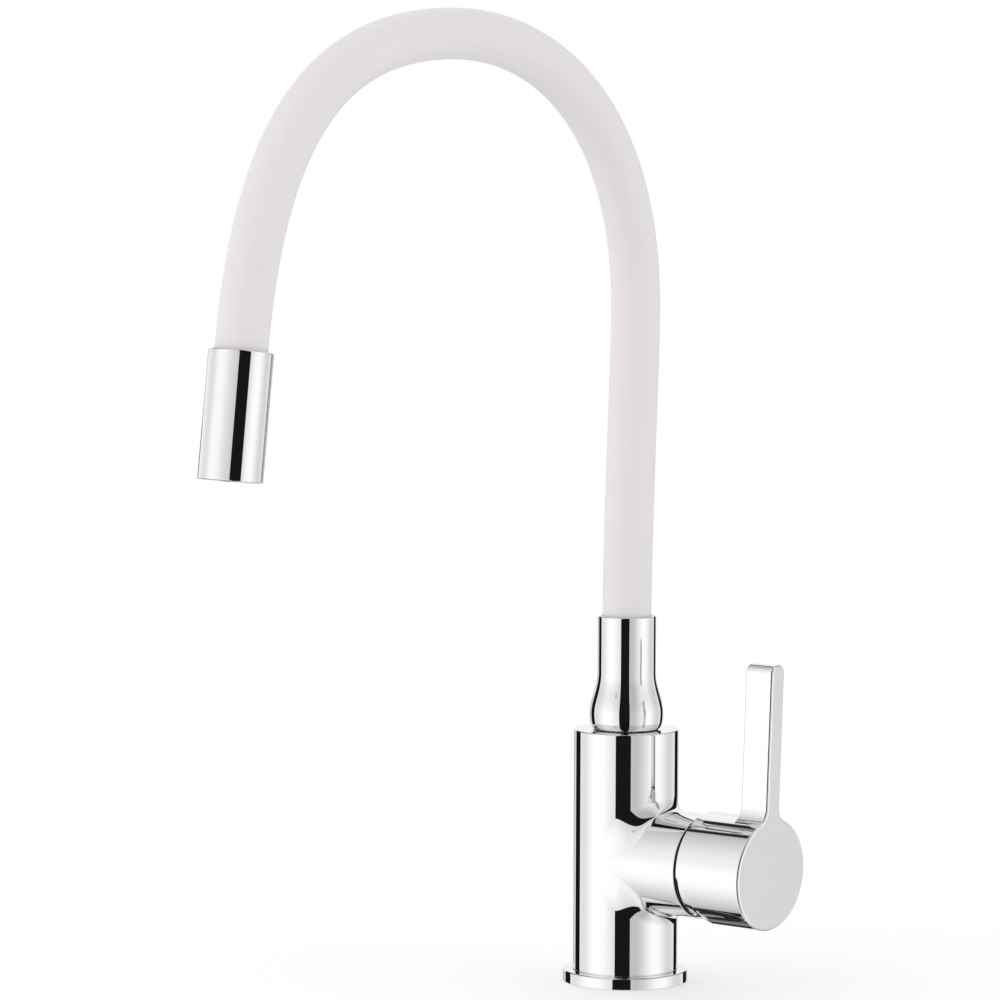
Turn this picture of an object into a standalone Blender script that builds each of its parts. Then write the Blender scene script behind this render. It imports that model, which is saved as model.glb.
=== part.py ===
"""Kitchen faucet with a flexible silicone-covered spout and a side lever.

The origin is the centre of the underside, on the worktop's surface. +Z is up, the arm
with its handle points along +X, and the spout points along -Y.
"""
import math

import bmesh
import bpy
from mathutils import Matrix, Vector

MM = 0.001

# Fits shared by all pieces
GAP = 0.3 * MM
OVERRUN = 2.0 * MM
MERGE_DISTANCE = 0.001 * MM
WELD_DISTANCE = 0.01 * MM
QUARTER = math.pi / 2
SHARP_ANGLE = math.radians(30.0)

# Roundness of the turned pieces
FINE = 36
ROUND = 24
SMALL = 12
JET_SIDES = 8
ORING_SIDES = 8

# Base ring and its gasket
RING_RADIUS = 25.1 * MM
RING_HEIGHT = 4.6 * MM
RING_EDGE = 0.7 * MM
RING_RECESS = 0.6 * MM
GASKET_INNER = 18.5 * MM
GASKET_WIDTH = 4.2 * MM
GASKET_HEIGHT = 1.7 * MM

# Body: column and arm
COLUMN_RADIUS = 21.0 * MM
COLUMN_TOP = 101.9 * MM
COLUMN_EDGE = 0.6 * MM
BODY_SPIGOT_RADIUS = 16.2 * MM
ARM_RADIUS = 20.8 * MM
ARM_AXIS_HEIGHT = 49.8 * MM
ARM_END = 39.8 * MM
ARM_EDGE = 0.3 * MM

# Water ways in the body
INLET_X = -6.0 * MM
INLET_Y = 8.0 * MM
INLET_RADIUS = 4.6 * MM
INLET_THREAD_DEPTH = 15.0 * MM
INLET_BORE_RADIUS = 3.4 * MM
PORT_Y = 7.5 * MM
INLET_PORT_Z = -6.0 * MM
MIXED_PORT_Z = 8.0 * MM
PORT_RADIUS = 2.4 * MM
CHANNEL_RADIUS = 2.8 * MM
MIXED_BORE_RADIUS = 5.0 * MM

# Mounting stud and what it clamps
DECK_THICKNESS = 30.0 * MM
STUD_X = 9.5 * MM
STUD_RADIUS = 3.9 * MM
STUD_IN_BODY = 13.7 * MM
STUD_BELOW_DECK = 22.0 * MM
HORSESHOE_RADIUS = 22.0 * MM
HORSESHOE_SLOT_WIDTH = 29.0 * MM
HORSESHOE_BRIDGE = 8.0 * MM
HORSESHOE_GASKET_HEIGHT = 2.5 * MM
HORSESHOE_WASHER_HEIGHT = 2.2 * MM
NUT_ACROSS_FLATS = 13.0 * MM
STUD_NUT_HEIGHT = 6.5 * MM

# Mixing cartridge, stacked along the arm from the floor of its cavity
CAVITY_FLOOR = 10.0 * MM
CARTRIDGE_RADIUS = 17.3 * MM
CAVITY_CLEARANCE = 0.4 * MM
BASE_FLANGE = 3.0 * MM
BASE_PLUG = 2.6 * MM
SEAL_RADIUS = 3.7 * MM
SEAL_WALL = 1.0 * MM
SEAL_HEIGHT = 2.0 * MM
HOUSING_WALL = 2.7 * MM
HOUSING_LID = 2.1 * MM
FIXED_DISC_RADIUS = 13.9 * MM
FIXED_DISC_HEIGHT = 3.2 * MM
MOVING_DISC_RADIUS = 10.3 * MM
MOVING_DISC_HEIGHT = 3.5 * MM
POCKET_WIDTH = 11.0 * MM
POCKET_LENGTH = 9.0 * MM
POCKET_DEPTH = 1.6 * MM
DISC_REST_OFFSET = 2.6 * MM
CARRIER_HEIGHT = 4.0 * MM
SOCKET_DEPTH = 3.0 * MM
ROTOR_RADIUS = 13.9 * MM
ROTOR_FLANGE = 5.8 * MM
ROTOR_NECK_RADIUS = 8.7 * MM
ROTOR_PAST_PIN = 3.0 * MM
RAIL_WIDTH = 1.8 * MM
RAIL_LENGTH = 12.0 * MM
RAIL_HEIGHT = 3.8 * MM
PIN_RADIUS = 1.5 * MM
PIN_LENGTH = 16.6 * MM
STEM_SIDE = 6.4 * MM
STEM_FOOT_RADIUS = 2.6 * MM
STEM_SHOULDER = 5.5 * MM
NUT_RADIUS = 18.6 * MM
NUT_BORE = 10.0 * MM
NUT_THREAD = 2.0 * MM
NUT_COLLAR_RADIUS = 15.5 * MM
NUT_COLLAR = 4.7 * MM

# Handle: cap, lever and the cover under the cap
SPLIT_GAP = 0.7 * MM
CAP_RADIUS = 22.2 * MM
CAP_LENGTH = 32.1 * MM
CAP_WALL = 1.6 * MM
CAP_EDGE = 0.8 * MM
CAP_FLOOR_GAP = 1.1 * MM
BOSS_RADIUS = 6.8 * MM
BOSS_HEIGHT = 9.8 * MM
LIFT_RANGE = math.radians(22.0)
RELIEF_MARGIN = math.radians(0.8)
RELIEF_START = 3.0 * MM
DOME_GAP = 0.4 * MM
DOME_WALL = 1.6 * MM
DOME_FLANGE = 0.4 * MM
DOME_HOLE_RADIUS = 14.0 * MM
DOME_SKIRT_WALL = 1.4 * MM
DOME_SKIRT_LENGTH = 1.5 * MM
DOME_ARC_STEPS = 5
LEVER_TIP = 83.4 * MM
LEVER_WIDTH = 8.4 * MM
LEVER_DEPTH = 13.0 * MM
FACE_LEAN = math.radians(2.0)
LEVER_SETBACK = 0.1 * MM
LEVER_ROOT_FILLET = 7.0 * MM
LEVER_ROOT_STEPS = 6
LEVER_TIP_ROUND = 3.4 * MM
LEVER_TIP_STEPS = 5
LEVER_EDGE = 0.8 * MM
LEVER_EDGE_ANGLE = math.radians(50.0)
STEM_COVER = 2.5 * MM
GRUB_SETBACK = 5.5 * MM
GRUB_RADIUS = 2.3 * MM
GRUB_LENGTH = 10.0 * MM
PLUG_HEAD_RADIUS = 3.1 * MM
PLUG_HEAD = 1.4 * MM
PLUG_STALK_RADIUS = 2.2 * MM
PLUG_STALK = 4.0 * MM
PLUG_SUNK = 0.5 * MM

# Neck that swivels in the top of the column
NECK_FOOT_RADIUS = 13.4 * MM
NECK_BULB_RADIUS = 14.8 * MM
NECK_BARREL_RADIUS = 11.7 * MM
NECK_BULB_HEIGHT = 5.8 * MM
NECK_FLARE_HEIGHT = 22.3 * MM
NECK_HEIGHT = 45.4 * MM
NECK_EDGE = 0.4 * MM
NECK_BULB_STEPS = 3
NECK_FLARE_STEPS = 7
SHANK_BORE_RADIUS = 7.6 * MM
SPIGOT_RADIUS = 10.5 * MM
SPIGOT_LENGTH = 24.2 * MM
SPIGOT_CLEARANCE = 0.4 * MM
SPIGOT_FLOOR_GAP = 1.5 * MM
ORING_MINOR = 0.85 * MM
ORING_GROOVE_WIDTH = 2.4 * MM
UPPER_ORING_DEPTH = 7.7 * MM
LOWER_ORING_DEPTH = 20.7 * MM
SCREW_GROOVE_DEPTH = 14.2 * MM
SCREW_GROOVE_CUT = 1.6 * MM
SCREW_RADIUS = 2.0 * MM
SCREW_SIDE_PLAY = 0.4 * MM
SCREW_SUNK = 0.7 * MM
BUSH_WALL = 1.8 * MM
BUSH_HEIGHT = 3.7 * MM

# Flexible spout: its layers
HOSE_RADIUS = 9.8 * MM
SLEEVE_BORE = 7.3 * MM
CORE_WALL = 1.4 * MM
TUBE_WALL = 1.1 * MM
SLEEVE_SIDES = 16
CORE_SIDES = 10
TUBE_SIDES = 8
HOSE_IN_NECK = 16.4 * MM
HOSE_IN_OUTLET = 16.0 * MM

# Flexible spout: its route in the plane x = 0
BOW_BACK = 4.5 * MM
BOW_HEIGHT = 270.5 * MM
ARCH_REACH = 109.0 * MM
ARCH_HEIGHT = 379.0 * MM
OUTLET_REACH = 230.2 * MM
OUTLET_TOP = 263.2 * MM
OUTLET_TILT = math.radians(7.35)
NECK_PULL = 35.5 * MM
BOW_LOWER_PULL = 22.0 * MM
BOW_UPPER_PULL = 71.5 * MM
ARCH_NEAR_PULL = 61.5 * MM
ARCH_FAR_PULL = 81.5 * MM
OUTLET_PULL = 72.0 * MM
LEG_STEPS = 7
RISE_STEPS = 11
FALL_STEPS = 12

# Ferrules at both ends of the spout
FERRULE_FLANGE = 2.0 * MM
FERRULE_FLANGE_RADIUS = 9.7 * MM
FERRULE_SHANK = 10.5 * MM
FERRULE_BARB = 11.0 * MM
FERRULE_BORE = 2.5 * MM

# Outlet, measured down from its top
OUTLET_RADIUS = 12.0 * MM
OUTLET_LENGTH = 47.7 * MM
OUTLET_EDGE = 0.5 * MM
AERATOR_CHAMBER_RADIUS = 10.6 * MM
AERATOR_CHAMBER_LENGTH = 17.7 * MM
AERATOR_WALL = 1.4 * MM
AERATOR_LIP = 1.3 * MM
AERATOR_LIP_HEIGHT = 1.6 * MM
AERATOR_SUNK = 0.5 * MM
WASHER_WALL = 2.3 * MM
WASHER_HEIGHT = 2.0 * MM
INSERT_TOP_GAP = 1.4 * MM
JET_RADIUS = 1.6 * MM
JET_CIRCLE = 5.2 * MM
JETS = 6

# Places that follow from the sizes above
BODY_FOOT = RING_HEIGHT - RING_RECESS + GAP
CAVITY_RADIUS = CARTRIDGE_RADIUS + CAVITY_CLEARANCE
BASE_BACK = CAVITY_FLOOR + GAP
HOUSING_BACK = BASE_BACK + BASE_FLANGE + GAP
BASE_TOP = BASE_BACK + BASE_FLANGE + BASE_PLUG
HOUSING_BORE = CARTRIDGE_RADIUS - HOUSING_WALL
FIXED_DISC_BACK = BASE_TOP + GAP
MOVING_DISC_BACK = FIXED_DISC_BACK + FIXED_DISC_HEIGHT + GAP
CARRIER_BACK = MOVING_DISC_BACK + MOVING_DISC_HEIGHT + GAP
CARRIER_TOP = CARRIER_BACK + CARRIER_HEIGHT
ROTOR_BACK = CARRIER_TOP + GAP
ROTOR_SHOULDER = ROTOR_BACK + ROTOR_FLANGE
HOUSING_TOP = ROTOR_SHOULDER + GAP + HOUSING_LID
NUT_BACK = HOUSING_TOP + GAP
NUT_TOP = NUT_BACK + NUT_THREAD + NUT_COLLAR
PIVOT_X = ARM_END + SPLIT_GAP
ROTOR_TOP = PIVOT_X + ROTOR_PAST_PIN
STEM_FOOT_X = CARRIER_TOP - SOCKET_DEPTH + GAP + GAP
CAP_FRONT = PIVOT_X + CAP_LENGTH
CAP_BORE = CAP_RADIUS - CAP_WALL
DOME_RADIUS = CAP_BORE - DOME_GAP
CAP_FLOOR = PIVOT_X + DOME_RADIUS + CAP_FLOOR_GAP
STEM_END = CAP_FRONT - STEM_COVER
GRUB_X = CAP_FRONT - GRUB_SETBACK
NECK_BOTTOM = COLUMN_TOP + GAP
NECK_TOP = NECK_BOTTOM + NECK_HEIGHT
SPIGOT_BOTTOM = NECK_BOTTOM - SPIGOT_LENGTH
SPOUT_BORE_RADIUS = SPIGOT_RADIUS + SPIGOT_CLEARANCE
SPOUT_BORE_FLOOR = SPIGOT_BOTTOM - SPIGOT_FLOOR_GAP
ORING_MAJOR = SPOUT_BORE_RADIUS - GAP - ORING_MINOR
ORING_GROOVE_RADIUS = ORING_MAJOR - ORING_MINOR - GAP
BUSH_INNER = SPIGOT_RADIUS + GAP
BUSH_SEAT = COLUMN_TOP - BUSH_HEIGHT - GAP
SOCKET_RADIUS = HOSE_RADIUS + GAP
HOSE_START = NECK_TOP - HOSE_IN_NECK
NECK_SHOULDER = HOSE_START - GAP - FERRULE_FLANGE - GAP
CORE_RADIUS = SLEEVE_BORE - GAP
CORE_BORE = CORE_RADIUS - CORE_WALL
TUBE_RADIUS = CORE_BORE - GAP
TUBE_BORE = TUBE_RADIUS - TUBE_WALL
BARB_RADIUS = (TUBE_BORE - GAP) * math.cos(math.pi / TUBE_SIDES)
FERRULE_SHANK_RADIUS = SHANK_BORE_RADIUS - GAP
OUTLET_SHOULDER = -(HOSE_IN_OUTLET + GAP + FERRULE_FLANGE + GAP)
CHAMBER_TOP = -(OUTLET_LENGTH - AERATOR_CHAMBER_LENGTH)
AERATOR_RADIUS = AERATOR_CHAMBER_RADIUS - GAP
AERATOR_TOP = CHAMBER_TOP - GAP - WASHER_HEIGHT - GAP
AERATOR_BOTTOM = -(OUTLET_LENGTH - AERATOR_SUNK)

# The spout leans half-way up its first stretch and bends at the top of its arch
LEAN_HEIGHT = (NECK_TOP + BOW_HEIGHT) / 2 + 3 * (NECK_PULL - BOW_LOWER_PULL) / 8
LEAN_PLACE = Vector((0.0, BOW_BACK / 2, LEAN_HEIGHT))
BEND_PLACE = Vector((0.0, -ARCH_REACH, ARCH_HEIGHT))
OUTLET_PLACE = Vector((0.0, -OUTLET_REACH, OUTLET_TOP))


def clear_scene():
    for obj in list(bpy.data.objects):
        bpy.data.objects.remove(obj, do_unlink=True)


def new_collection(name):
    collection = bpy.data.collections.new(name)
    bpy.context.scene.collection.children.link(collection)
    return collection


def new_material(name, color, roughness, metallic):
    material = bpy.data.materials.new(name)
    material.use_nodes = True
    shader = material.node_tree.nodes["Principled BSDF"]
    shader.inputs["Base Color"].default_value = (*color, 1.0)
    shader.inputs["Roughness"].default_value = roughness
    shader.inputs["Metallic"].default_value = metallic
    return material


clear_scene()
FAUCET = new_collection("flexible_kitchen_faucet")
CUTTERS = new_collection("cutters")
CHROME = new_material("chrome", (0.86, 0.87, 0.88), 0.05, 1.0)
BRASS = new_material("brass", (0.72, 0.55, 0.25), 0.30, 1.0)
STEEL = new_material("steel", (0.60, 0.60, 0.61), 0.35, 1.0)
SILICONE = new_material("white silicone", (0.72, 0.69, 0.70), 0.60, 0.0)
RUBBER = new_material("black rubber", (0.02, 0.02, 0.02), 0.80, 0.0)
WHITE_PLASTIC = new_material("white plastic", (0.78, 0.78, 0.76), 0.40, 0.0)
GREY_PLASTIC = new_material("grey plastic", (0.30, 0.31, 0.33), 0.45, 0.0)
CERAMIC = new_material("ceramic", (0.82, 0.80, 0.74), 0.25, 0.0)
PEX = new_material("clear tube", (0.75, 0.78, 0.78), 0.35, 0.0)


def empty(name, location, rotation=(0.0, 0.0, 0.0), parent=None):
    """An empty that carries pieces; its location is counted from its parent."""
    obj = bpy.data.objects.new(name, None)
    obj.location = location
    obj.rotation_euler = rotation
    obj.parent = parent
    obj.empty_display_size = COLUMN_RADIUS
    FAUCET.objects.link(obj)
    return obj


def add(name, mesh, material, parent=None, location=(0.0, 0.0, 0.0)):
    """A piece of the faucet, or a cutter where it has no material."""
    obj = bpy.data.objects.new(name, mesh)
    obj.location = location
    obj.parent = parent
    if material is None:
        CUTTERS.objects.link(obj)
        obj.hide_render = True
        obj.display_type = "WIRE"
    else:
        mesh.materials.append(material)
        FAUCET.objects.link(obj)
    return obj


def turned(name, outline, material, parent=None, location=(0.0, 0.0, 0.0), steps=ROUND, ring=False):
    """A turned piece; the outline of (radius, height) runs down its outer side."""
    mesh = bpy.data.meshes.new(name)
    edges = [(i, i + 1) for i in range(len(outline) - 1)]
    if ring:
        edges.append((len(outline) - 1, 0))
    mesh.from_pydata([(radius, 0.0, height) for radius, height in outline], edges, [])
    obj = add(name, mesh, material, parent, location)
    screw = obj.modifiers.new("turn", "SCREW")
    screw.steps = steps
    screw.render_steps = steps
    screw.use_merge_vertices = True
    screw.merge_threshold = MERGE_DISTANCE
    return obj


def rod(name, radius, start, end, material=None, parent=None, location=(0.0, 0.0, 0.0), steps=SMALL):
    """A plain round bar along the parent's Z axis."""
    bm = bmesh.new()
    bmesh.ops.create_cone(
        bm, cap_ends=True, segments=steps, radius1=radius, radius2=radius, depth=end - start
    )
    bmesh.ops.translate(bm, vec=(0.0, 0.0, (start + end) / 2), verts=bm.verts)
    mesh = bpy.data.meshes.new(name)
    bm.to_mesh(mesh)
    bm.free()
    return add(name, mesh, material, parent, location)


def tube(name, outer, inner, start, end, material, parent=None, location=(0.0, 0.0, 0.0), steps=ROUND):
    """A plain ring or bush along the parent's Z axis."""
    outline = [(outer, end), (outer, start), (inner, start), (inner, end)]
    return turned(name, outline, material, parent, location, steps, ring=True)


def seal_ring(name, major, minor, height, parent):
    """A round rubber ring whose section is a circle."""
    bpy.ops.mesh.primitive_torus_add(
        major_radius=major, minor_radius=minor, major_segments=ROUND, minor_segments=ORING_SIDES
    )
    form = bpy.context.object
    mesh = form.data
    mesh.name = name
    bpy.data.objects.remove(form, do_unlink=True)
    return add(name, mesh, RUBBER, parent, (0.0, 0.0, height))


def block(name, low, high, material=None, parent=None, location=(0.0, 0.0, 0.0)):
    """A box between two corners."""
    bm = bmesh.new()
    bmesh.ops.create_cube(bm, size=1.0)
    size = Vector(high) - Vector(low)
    middle = (Vector(high) + Vector(low)) / 2
    bmesh.ops.scale(bm, vec=size, verts=bm.verts)
    bmesh.ops.translate(bm, vec=middle, verts=bm.verts)
    mesh = bpy.data.meshes.new(name)
    bm.to_mesh(mesh)
    bm.free()
    return add(name, mesh, material, parent, location)


def boolean(obj, tool, operation="DIFFERENCE"):
    modifier = obj.modifiers.new(tool.name, "BOOLEAN")
    modifier.operation = operation
    modifier.object = tool
    modifier.solver = "EXACT"
    return obj


def cut_all(obj, tools):
    """Cut several tools out of a piece in one step."""
    together = bpy.data.collections.new(obj.name + "_cuts")
    CUTTERS.children.link(together)
    for tool in tools:
        together.objects.link(tool)
    modifier = obj.modifiers.new("cuts", "BOOLEAN")
    modifier.operation = "DIFFERENCE"
    modifier.operand_type = "COLLECTION"
    modifier.collection = together
    modifier.solver = "EXACT"
    return obj


def settle(obj):
    """Apply the modifiers and shade the piece smooth up to its edges."""
    evaluated = obj.evaluated_get(bpy.context.evaluated_depsgraph_get())
    mesh = bpy.data.meshes.new_from_object(evaluated)
    mesh.name = obj.name
    obj.modifiers.clear()
    obj.data = mesh
    mesh.shade_smooth()
    mesh.set_sharp_from_angle(angle=SHARP_ANGLE)


def arc(centre, radius, start, end, steps):
    """Points of an arc from one angle to the other, both ends included."""
    points = []
    for i in range(steps + 1):
        angle = start + (end - start) * i / steps
        points.append((centre[0] + radius * math.cos(angle), centre[1] + radius * math.sin(angle)))
    return points


# Empties on the axes that pieces turn or slide on. The Z of those on the arm points along it
along_arm = empty("arm_axis", (0.0, 0.0, ARM_AXIS_HEIGHT), (0.0, QUARTER, 0.0))
turn_axis = empty("handle_turn_axis", (0.0, 0.0, ARM_AXIS_HEIGHT), (0.0, QUARTER, 0.0))
slide_axis = empty("disc_slide_axis", (0.0, 0.0, 0.0), parent=turn_axis)
lift_axis = empty("handle_lift_axis", (0.0, 0.0, PIVOT_X), (0.0, -QUARTER, 0.0), turn_axis)
swivel_axis = empty("spout_swivel_axis", (0.0, 0.0, 0.0))
lean_axis = empty("spout_lean_axis", LEAN_PLACE, parent=swivel_axis)
bend_axis = empty("spout_bend_axis", BEND_PLACE - LEAN_PLACE, parent=lean_axis)
outlet_axis = empty("outlet_axis", OUTLET_PLACE - BEND_PLACE, (-OUTLET_TILT, 0.0, 0.0), bend_axis)


def port_place(y, z, x=0.0):
    """A place on the arm's axis empty, whose X points down and whose Z points along the arm."""
    return (-z, y, x)


PORTS = {
    "hot": port_place(PORT_Y, INLET_PORT_Z),
    "cold": port_place(-PORT_Y, INLET_PORT_Z),
    "mixed": port_place(0.0, MIXED_PORT_Z),
}


def make_base():
    groove_inner = GASKET_INNER - GAP
    groove_outer = GASKET_INNER + GASKET_WIDTH + GAP
    groove_top = GASKET_HEIGHT + GAP
    seat_radius = COLUMN_RADIUS + GAP
    seat = RING_HEIGHT - RING_RECESS
    bore = BODY_SPIGOT_RADIUS + GAP
    outline = [
        (seat_radius, RING_HEIGHT),
        (RING_RADIUS - RING_EDGE, RING_HEIGHT),
        (RING_RADIUS, RING_HEIGHT - RING_EDGE),
        (RING_RADIUS, 0.0),
        (groove_outer, 0.0),
        (groove_outer, groove_top),
        (groove_inner, groove_top),
        (groove_inner, 0.0),
        (bore, 0.0),
        (bore, seat),
        (seat_radius, seat),
    ]
    turned("base_ring", outline, CHROME, steps=FINE, ring=True)
    tube("base_gasket", GASKET_INNER + GASKET_WIDTH, GASKET_INNER, 0.0, GASKET_HEIGHT, RUBBER)


def make_body():
    column = [
        (0.0, COLUMN_TOP),
        (COLUMN_RADIUS - COLUMN_EDGE, COLUMN_TOP),
        (COLUMN_RADIUS, COLUMN_TOP - COLUMN_EDGE),
        (COLUMN_RADIUS, BODY_FOOT),
        (BODY_SPIGOT_RADIUS, BODY_FOOT),
        (BODY_SPIGOT_RADIUS, 0.0),
        (0.0, 0.0),
    ]
    body = turned("body", column, CHROME, steps=FINE)
    arm_outline = [
        (0.0, ARM_END),
        (ARM_RADIUS - ARM_EDGE, ARM_END),
        (ARM_RADIUS, ARM_END - ARM_EDGE),
        (ARM_RADIUS, 0.0),
        (0.0, 0.0),
    ]
    boolean(body, turned("arm_form", arm_outline, None, along_arm, steps=FINE), "UNION")

    mouth = NUT_RADIUS + GAP
    cavity = [
        (0.0, ARM_END + OVERRUN),
        (mouth, ARM_END + OVERRUN),
        (mouth, HOUSING_TOP),
        (CAVITY_RADIUS, HOUSING_TOP),
        (CAVITY_RADIUS, CAVITY_FLOOR),
        (0.0, CAVITY_FLOOR),
    ]
    cuts = [turned("cavity_cut", cavity, None, along_arm, steps=FINE)]

    bush_radius = BUSH_INNER + BUSH_WALL + GAP
    bore = [
        (0.0, COLUMN_TOP + OVERRUN),
        (bush_radius, COLUMN_TOP + OVERRUN),
        (bush_radius, BUSH_SEAT),
        (SPOUT_BORE_RADIUS, BUSH_SEAT),
        (SPOUT_BORE_RADIUS, SPOUT_BORE_FLOOR),
        (0.0, SPOUT_BORE_FLOOR),
    ]
    cuts.append(turned("spout_bore_cut", bore, None, steps=FINE))

    port_height = ARM_AXIS_HEIGHT + INLET_PORT_Z
    channel_top = port_height + CHANNEL_RADIUS
    channel_end = CAVITY_FLOOR + OVERRUN
    for side, name in ((1, "hot"), (-1, "cold")):
        inlet = (INLET_X, side * INLET_Y, 0.0)
        inlet_bore = [
            (0.0, channel_top),
            (INLET_BORE_RADIUS, channel_top),
            (INLET_BORE_RADIUS, INLET_THREAD_DEPTH),
            (INLET_RADIUS, INLET_THREAD_DEPTH),
            (INLET_RADIUS, -OVERRUN),
            (0.0, -OVERRUN),
        ]
        cuts.append(turned(name + "_inlet_cut", inlet_bore, None, None, inlet, SMALL))
        cuts.append(
            rod(name + "_channel_cut", CHANNEL_RADIUS, INLET_X, channel_end, None, along_arm, PORTS[name])
        )
    mixed_height = ARM_AXIS_HEIGHT + MIXED_PORT_Z
    riser_start = mixed_height - CHANNEL_RADIUS - OVERRUN
    cuts.append(rod("mixed_riser_cut", MIXED_BORE_RADIUS, riser_start, SPOUT_BORE_FLOOR + OVERRUN))
    cuts.append(rod("mixed_channel_cut", CHANNEL_RADIUS, 0.0, channel_end, None, along_arm, PORTS["mixed"]))

    stud_place = (STUD_X, 0.0, 0.0)
    cuts.append(rod("stud_cut", STUD_RADIUS + GAP, -OVERRUN, STUD_IN_BODY + GAP, location=stud_place))
    screw_hole = rod("screw_cut", SCREW_RADIUS + GAP, 0.0, COLUMN_RADIUS + OVERRUN)
    screw_hole.rotation_euler = (-QUARTER, 0.0, 0.0)
    screw_hole.location = (0.0, 0.0, NECK_BOTTOM - SCREW_GROOVE_DEPTH)
    cuts.append(screw_hole)
    cut_all(body, cuts)


def make_deck_kit():
    stud_edge = STUD_RADIUS - GAP
    stud = [
        (0.0, STUD_IN_BODY),
        (stud_edge, STUD_IN_BODY),
        (STUD_RADIUS, STUD_IN_BODY - GAP),
        (STUD_RADIUS, GAP - DECK_THICKNESS - STUD_BELOW_DECK),
        (stud_edge, -DECK_THICKNESS - STUD_BELOW_DECK),
        (0.0, -DECK_THICKNESS - STUD_BELOW_DECK),
    ]
    place = (STUD_X, 0.0, 0.0)
    turned("mounting_stud", stud, STEEL, location=place, steps=SMALL)

    gasket_top = -DECK_THICKNESS
    washer_top = gasket_top - HORSESHOE_GASKET_HEIGHT - GAP
    nut_top = washer_top - HORSESHOE_WASHER_HEIGHT - GAP
    slot_half = HORSESHOE_SLOT_WIDTH / 2
    slot_end = STUD_X - HORSESHOE_BRIDGE
    plates = (
        ("horseshoe_gasket", gasket_top, HORSESHOE_GASKET_HEIGHT, RUBBER),
        ("horseshoe_washer", washer_top, HORSESHOE_WASHER_HEIGHT, STEEL),
    )
    for name, top, height, material in plates:
        plate = rod(name, HORSESHOE_RADIUS, top - height, top, material, steps=ROUND)
        slot = block(
            name + "_slot_cut",
            (-HORSESHOE_RADIUS - OVERRUN, -slot_half, top - height - OVERRUN),
            (slot_end, slot_half, top + OVERRUN),
        )
        boolean(plate, slot)
        hole = rod(
            name + "_hole_cut", STUD_RADIUS + GAP, top - height - OVERRUN, top + OVERRUN, location=place
        )
        boolean(plate, hole)

    corner = NUT_ACROSS_FLATS / 2 / math.cos(math.pi / 6)
    nut = rod("stud_nut", corner, nut_top - STUD_NUT_HEIGHT, nut_top, STEEL, location=place, steps=6)
    nut_hole = rod(
        "stud_nut_hole_cut",
        STUD_RADIUS + GAP,
        nut_top - STUD_NUT_HEIGHT - OVERRUN,
        nut_top + OVERRUN,
        location=place,
    )
    boolean(nut, nut_hole)


def make_cartridge():
    plug_radius = HOUSING_BORE - GAP
    base_outline = [
        (0.0, BASE_TOP),
        (plug_radius, BASE_TOP),
        (plug_radius, BASE_BACK + BASE_FLANGE),
        (CARTRIDGE_RADIUS, BASE_BACK + BASE_FLANGE),
        (CARTRIDGE_RADIUS, BASE_BACK),
        (0.0, BASE_BACK),
    ]
    base = turned("cartridge_base", base_outline, GREY_PLASTIC, along_arm)
    fixed_end = FIXED_DISC_BACK + FIXED_DISC_HEIGHT
    fixed = rod(
        "fixed_ceramic_disc", FIXED_DISC_RADIUS, FIXED_DISC_BACK, fixed_end, CERAMIC, along_arm, steps=ROUND
    )
    for name, place in PORTS.items():
        port = rod(
            name + "_port_cut", PORT_RADIUS, BASE_BACK - OVERRUN, fixed_end + OVERRUN, None, along_arm, place
        )
        boolean(base, port)
        boolean(fixed, port)
        recess = rod(
            name + "_recess_cut",
            SEAL_RADIUS + GAP,
            BASE_BACK - OVERRUN,
            BASE_BACK + SEAL_HEIGHT + GAP,
            None,
            along_arm,
            place,
        )
        boolean(base, recess)
        tube(
            name + "_port_seal",
            SEAL_RADIUS,
            SEAL_RADIUS - SEAL_WALL,
            BASE_BACK,
            BASE_BACK + SEAL_HEIGHT,
            RUBBER,
            along_arm,
            place,
            steps=SMALL,
        )

    lid_back = HOUSING_TOP - HOUSING_LID
    housing = [
        (ROTOR_NECK_RADIUS + CAVITY_CLEARANCE, HOUSING_TOP),
        (CARTRIDGE_RADIUS, HOUSING_TOP),
        (CARTRIDGE_RADIUS, HOUSING_BACK),
        (HOUSING_BORE, HOUSING_BACK),
        (HOUSING_BORE, lid_back),
        (ROTOR_NECK_RADIUS + CAVITY_CLEARANCE, lid_back),
    ]
    turned("cartridge_housing", housing, WHITE_PLASTIC, along_arm, ring=True)

    collar_back = NUT_BACK + NUT_THREAD
    nut = [
        (NUT_BORE, NUT_TOP),
        (NUT_COLLAR_RADIUS, NUT_TOP),
        (NUT_COLLAR_RADIUS, collar_back),
        (NUT_RADIUS, collar_back),
        (NUT_RADIUS, NUT_BACK),
        (NUT_BORE, NUT_BACK),
    ]
    turned("cartridge_nut", nut, BRASS, along_arm, ring=True)


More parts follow.
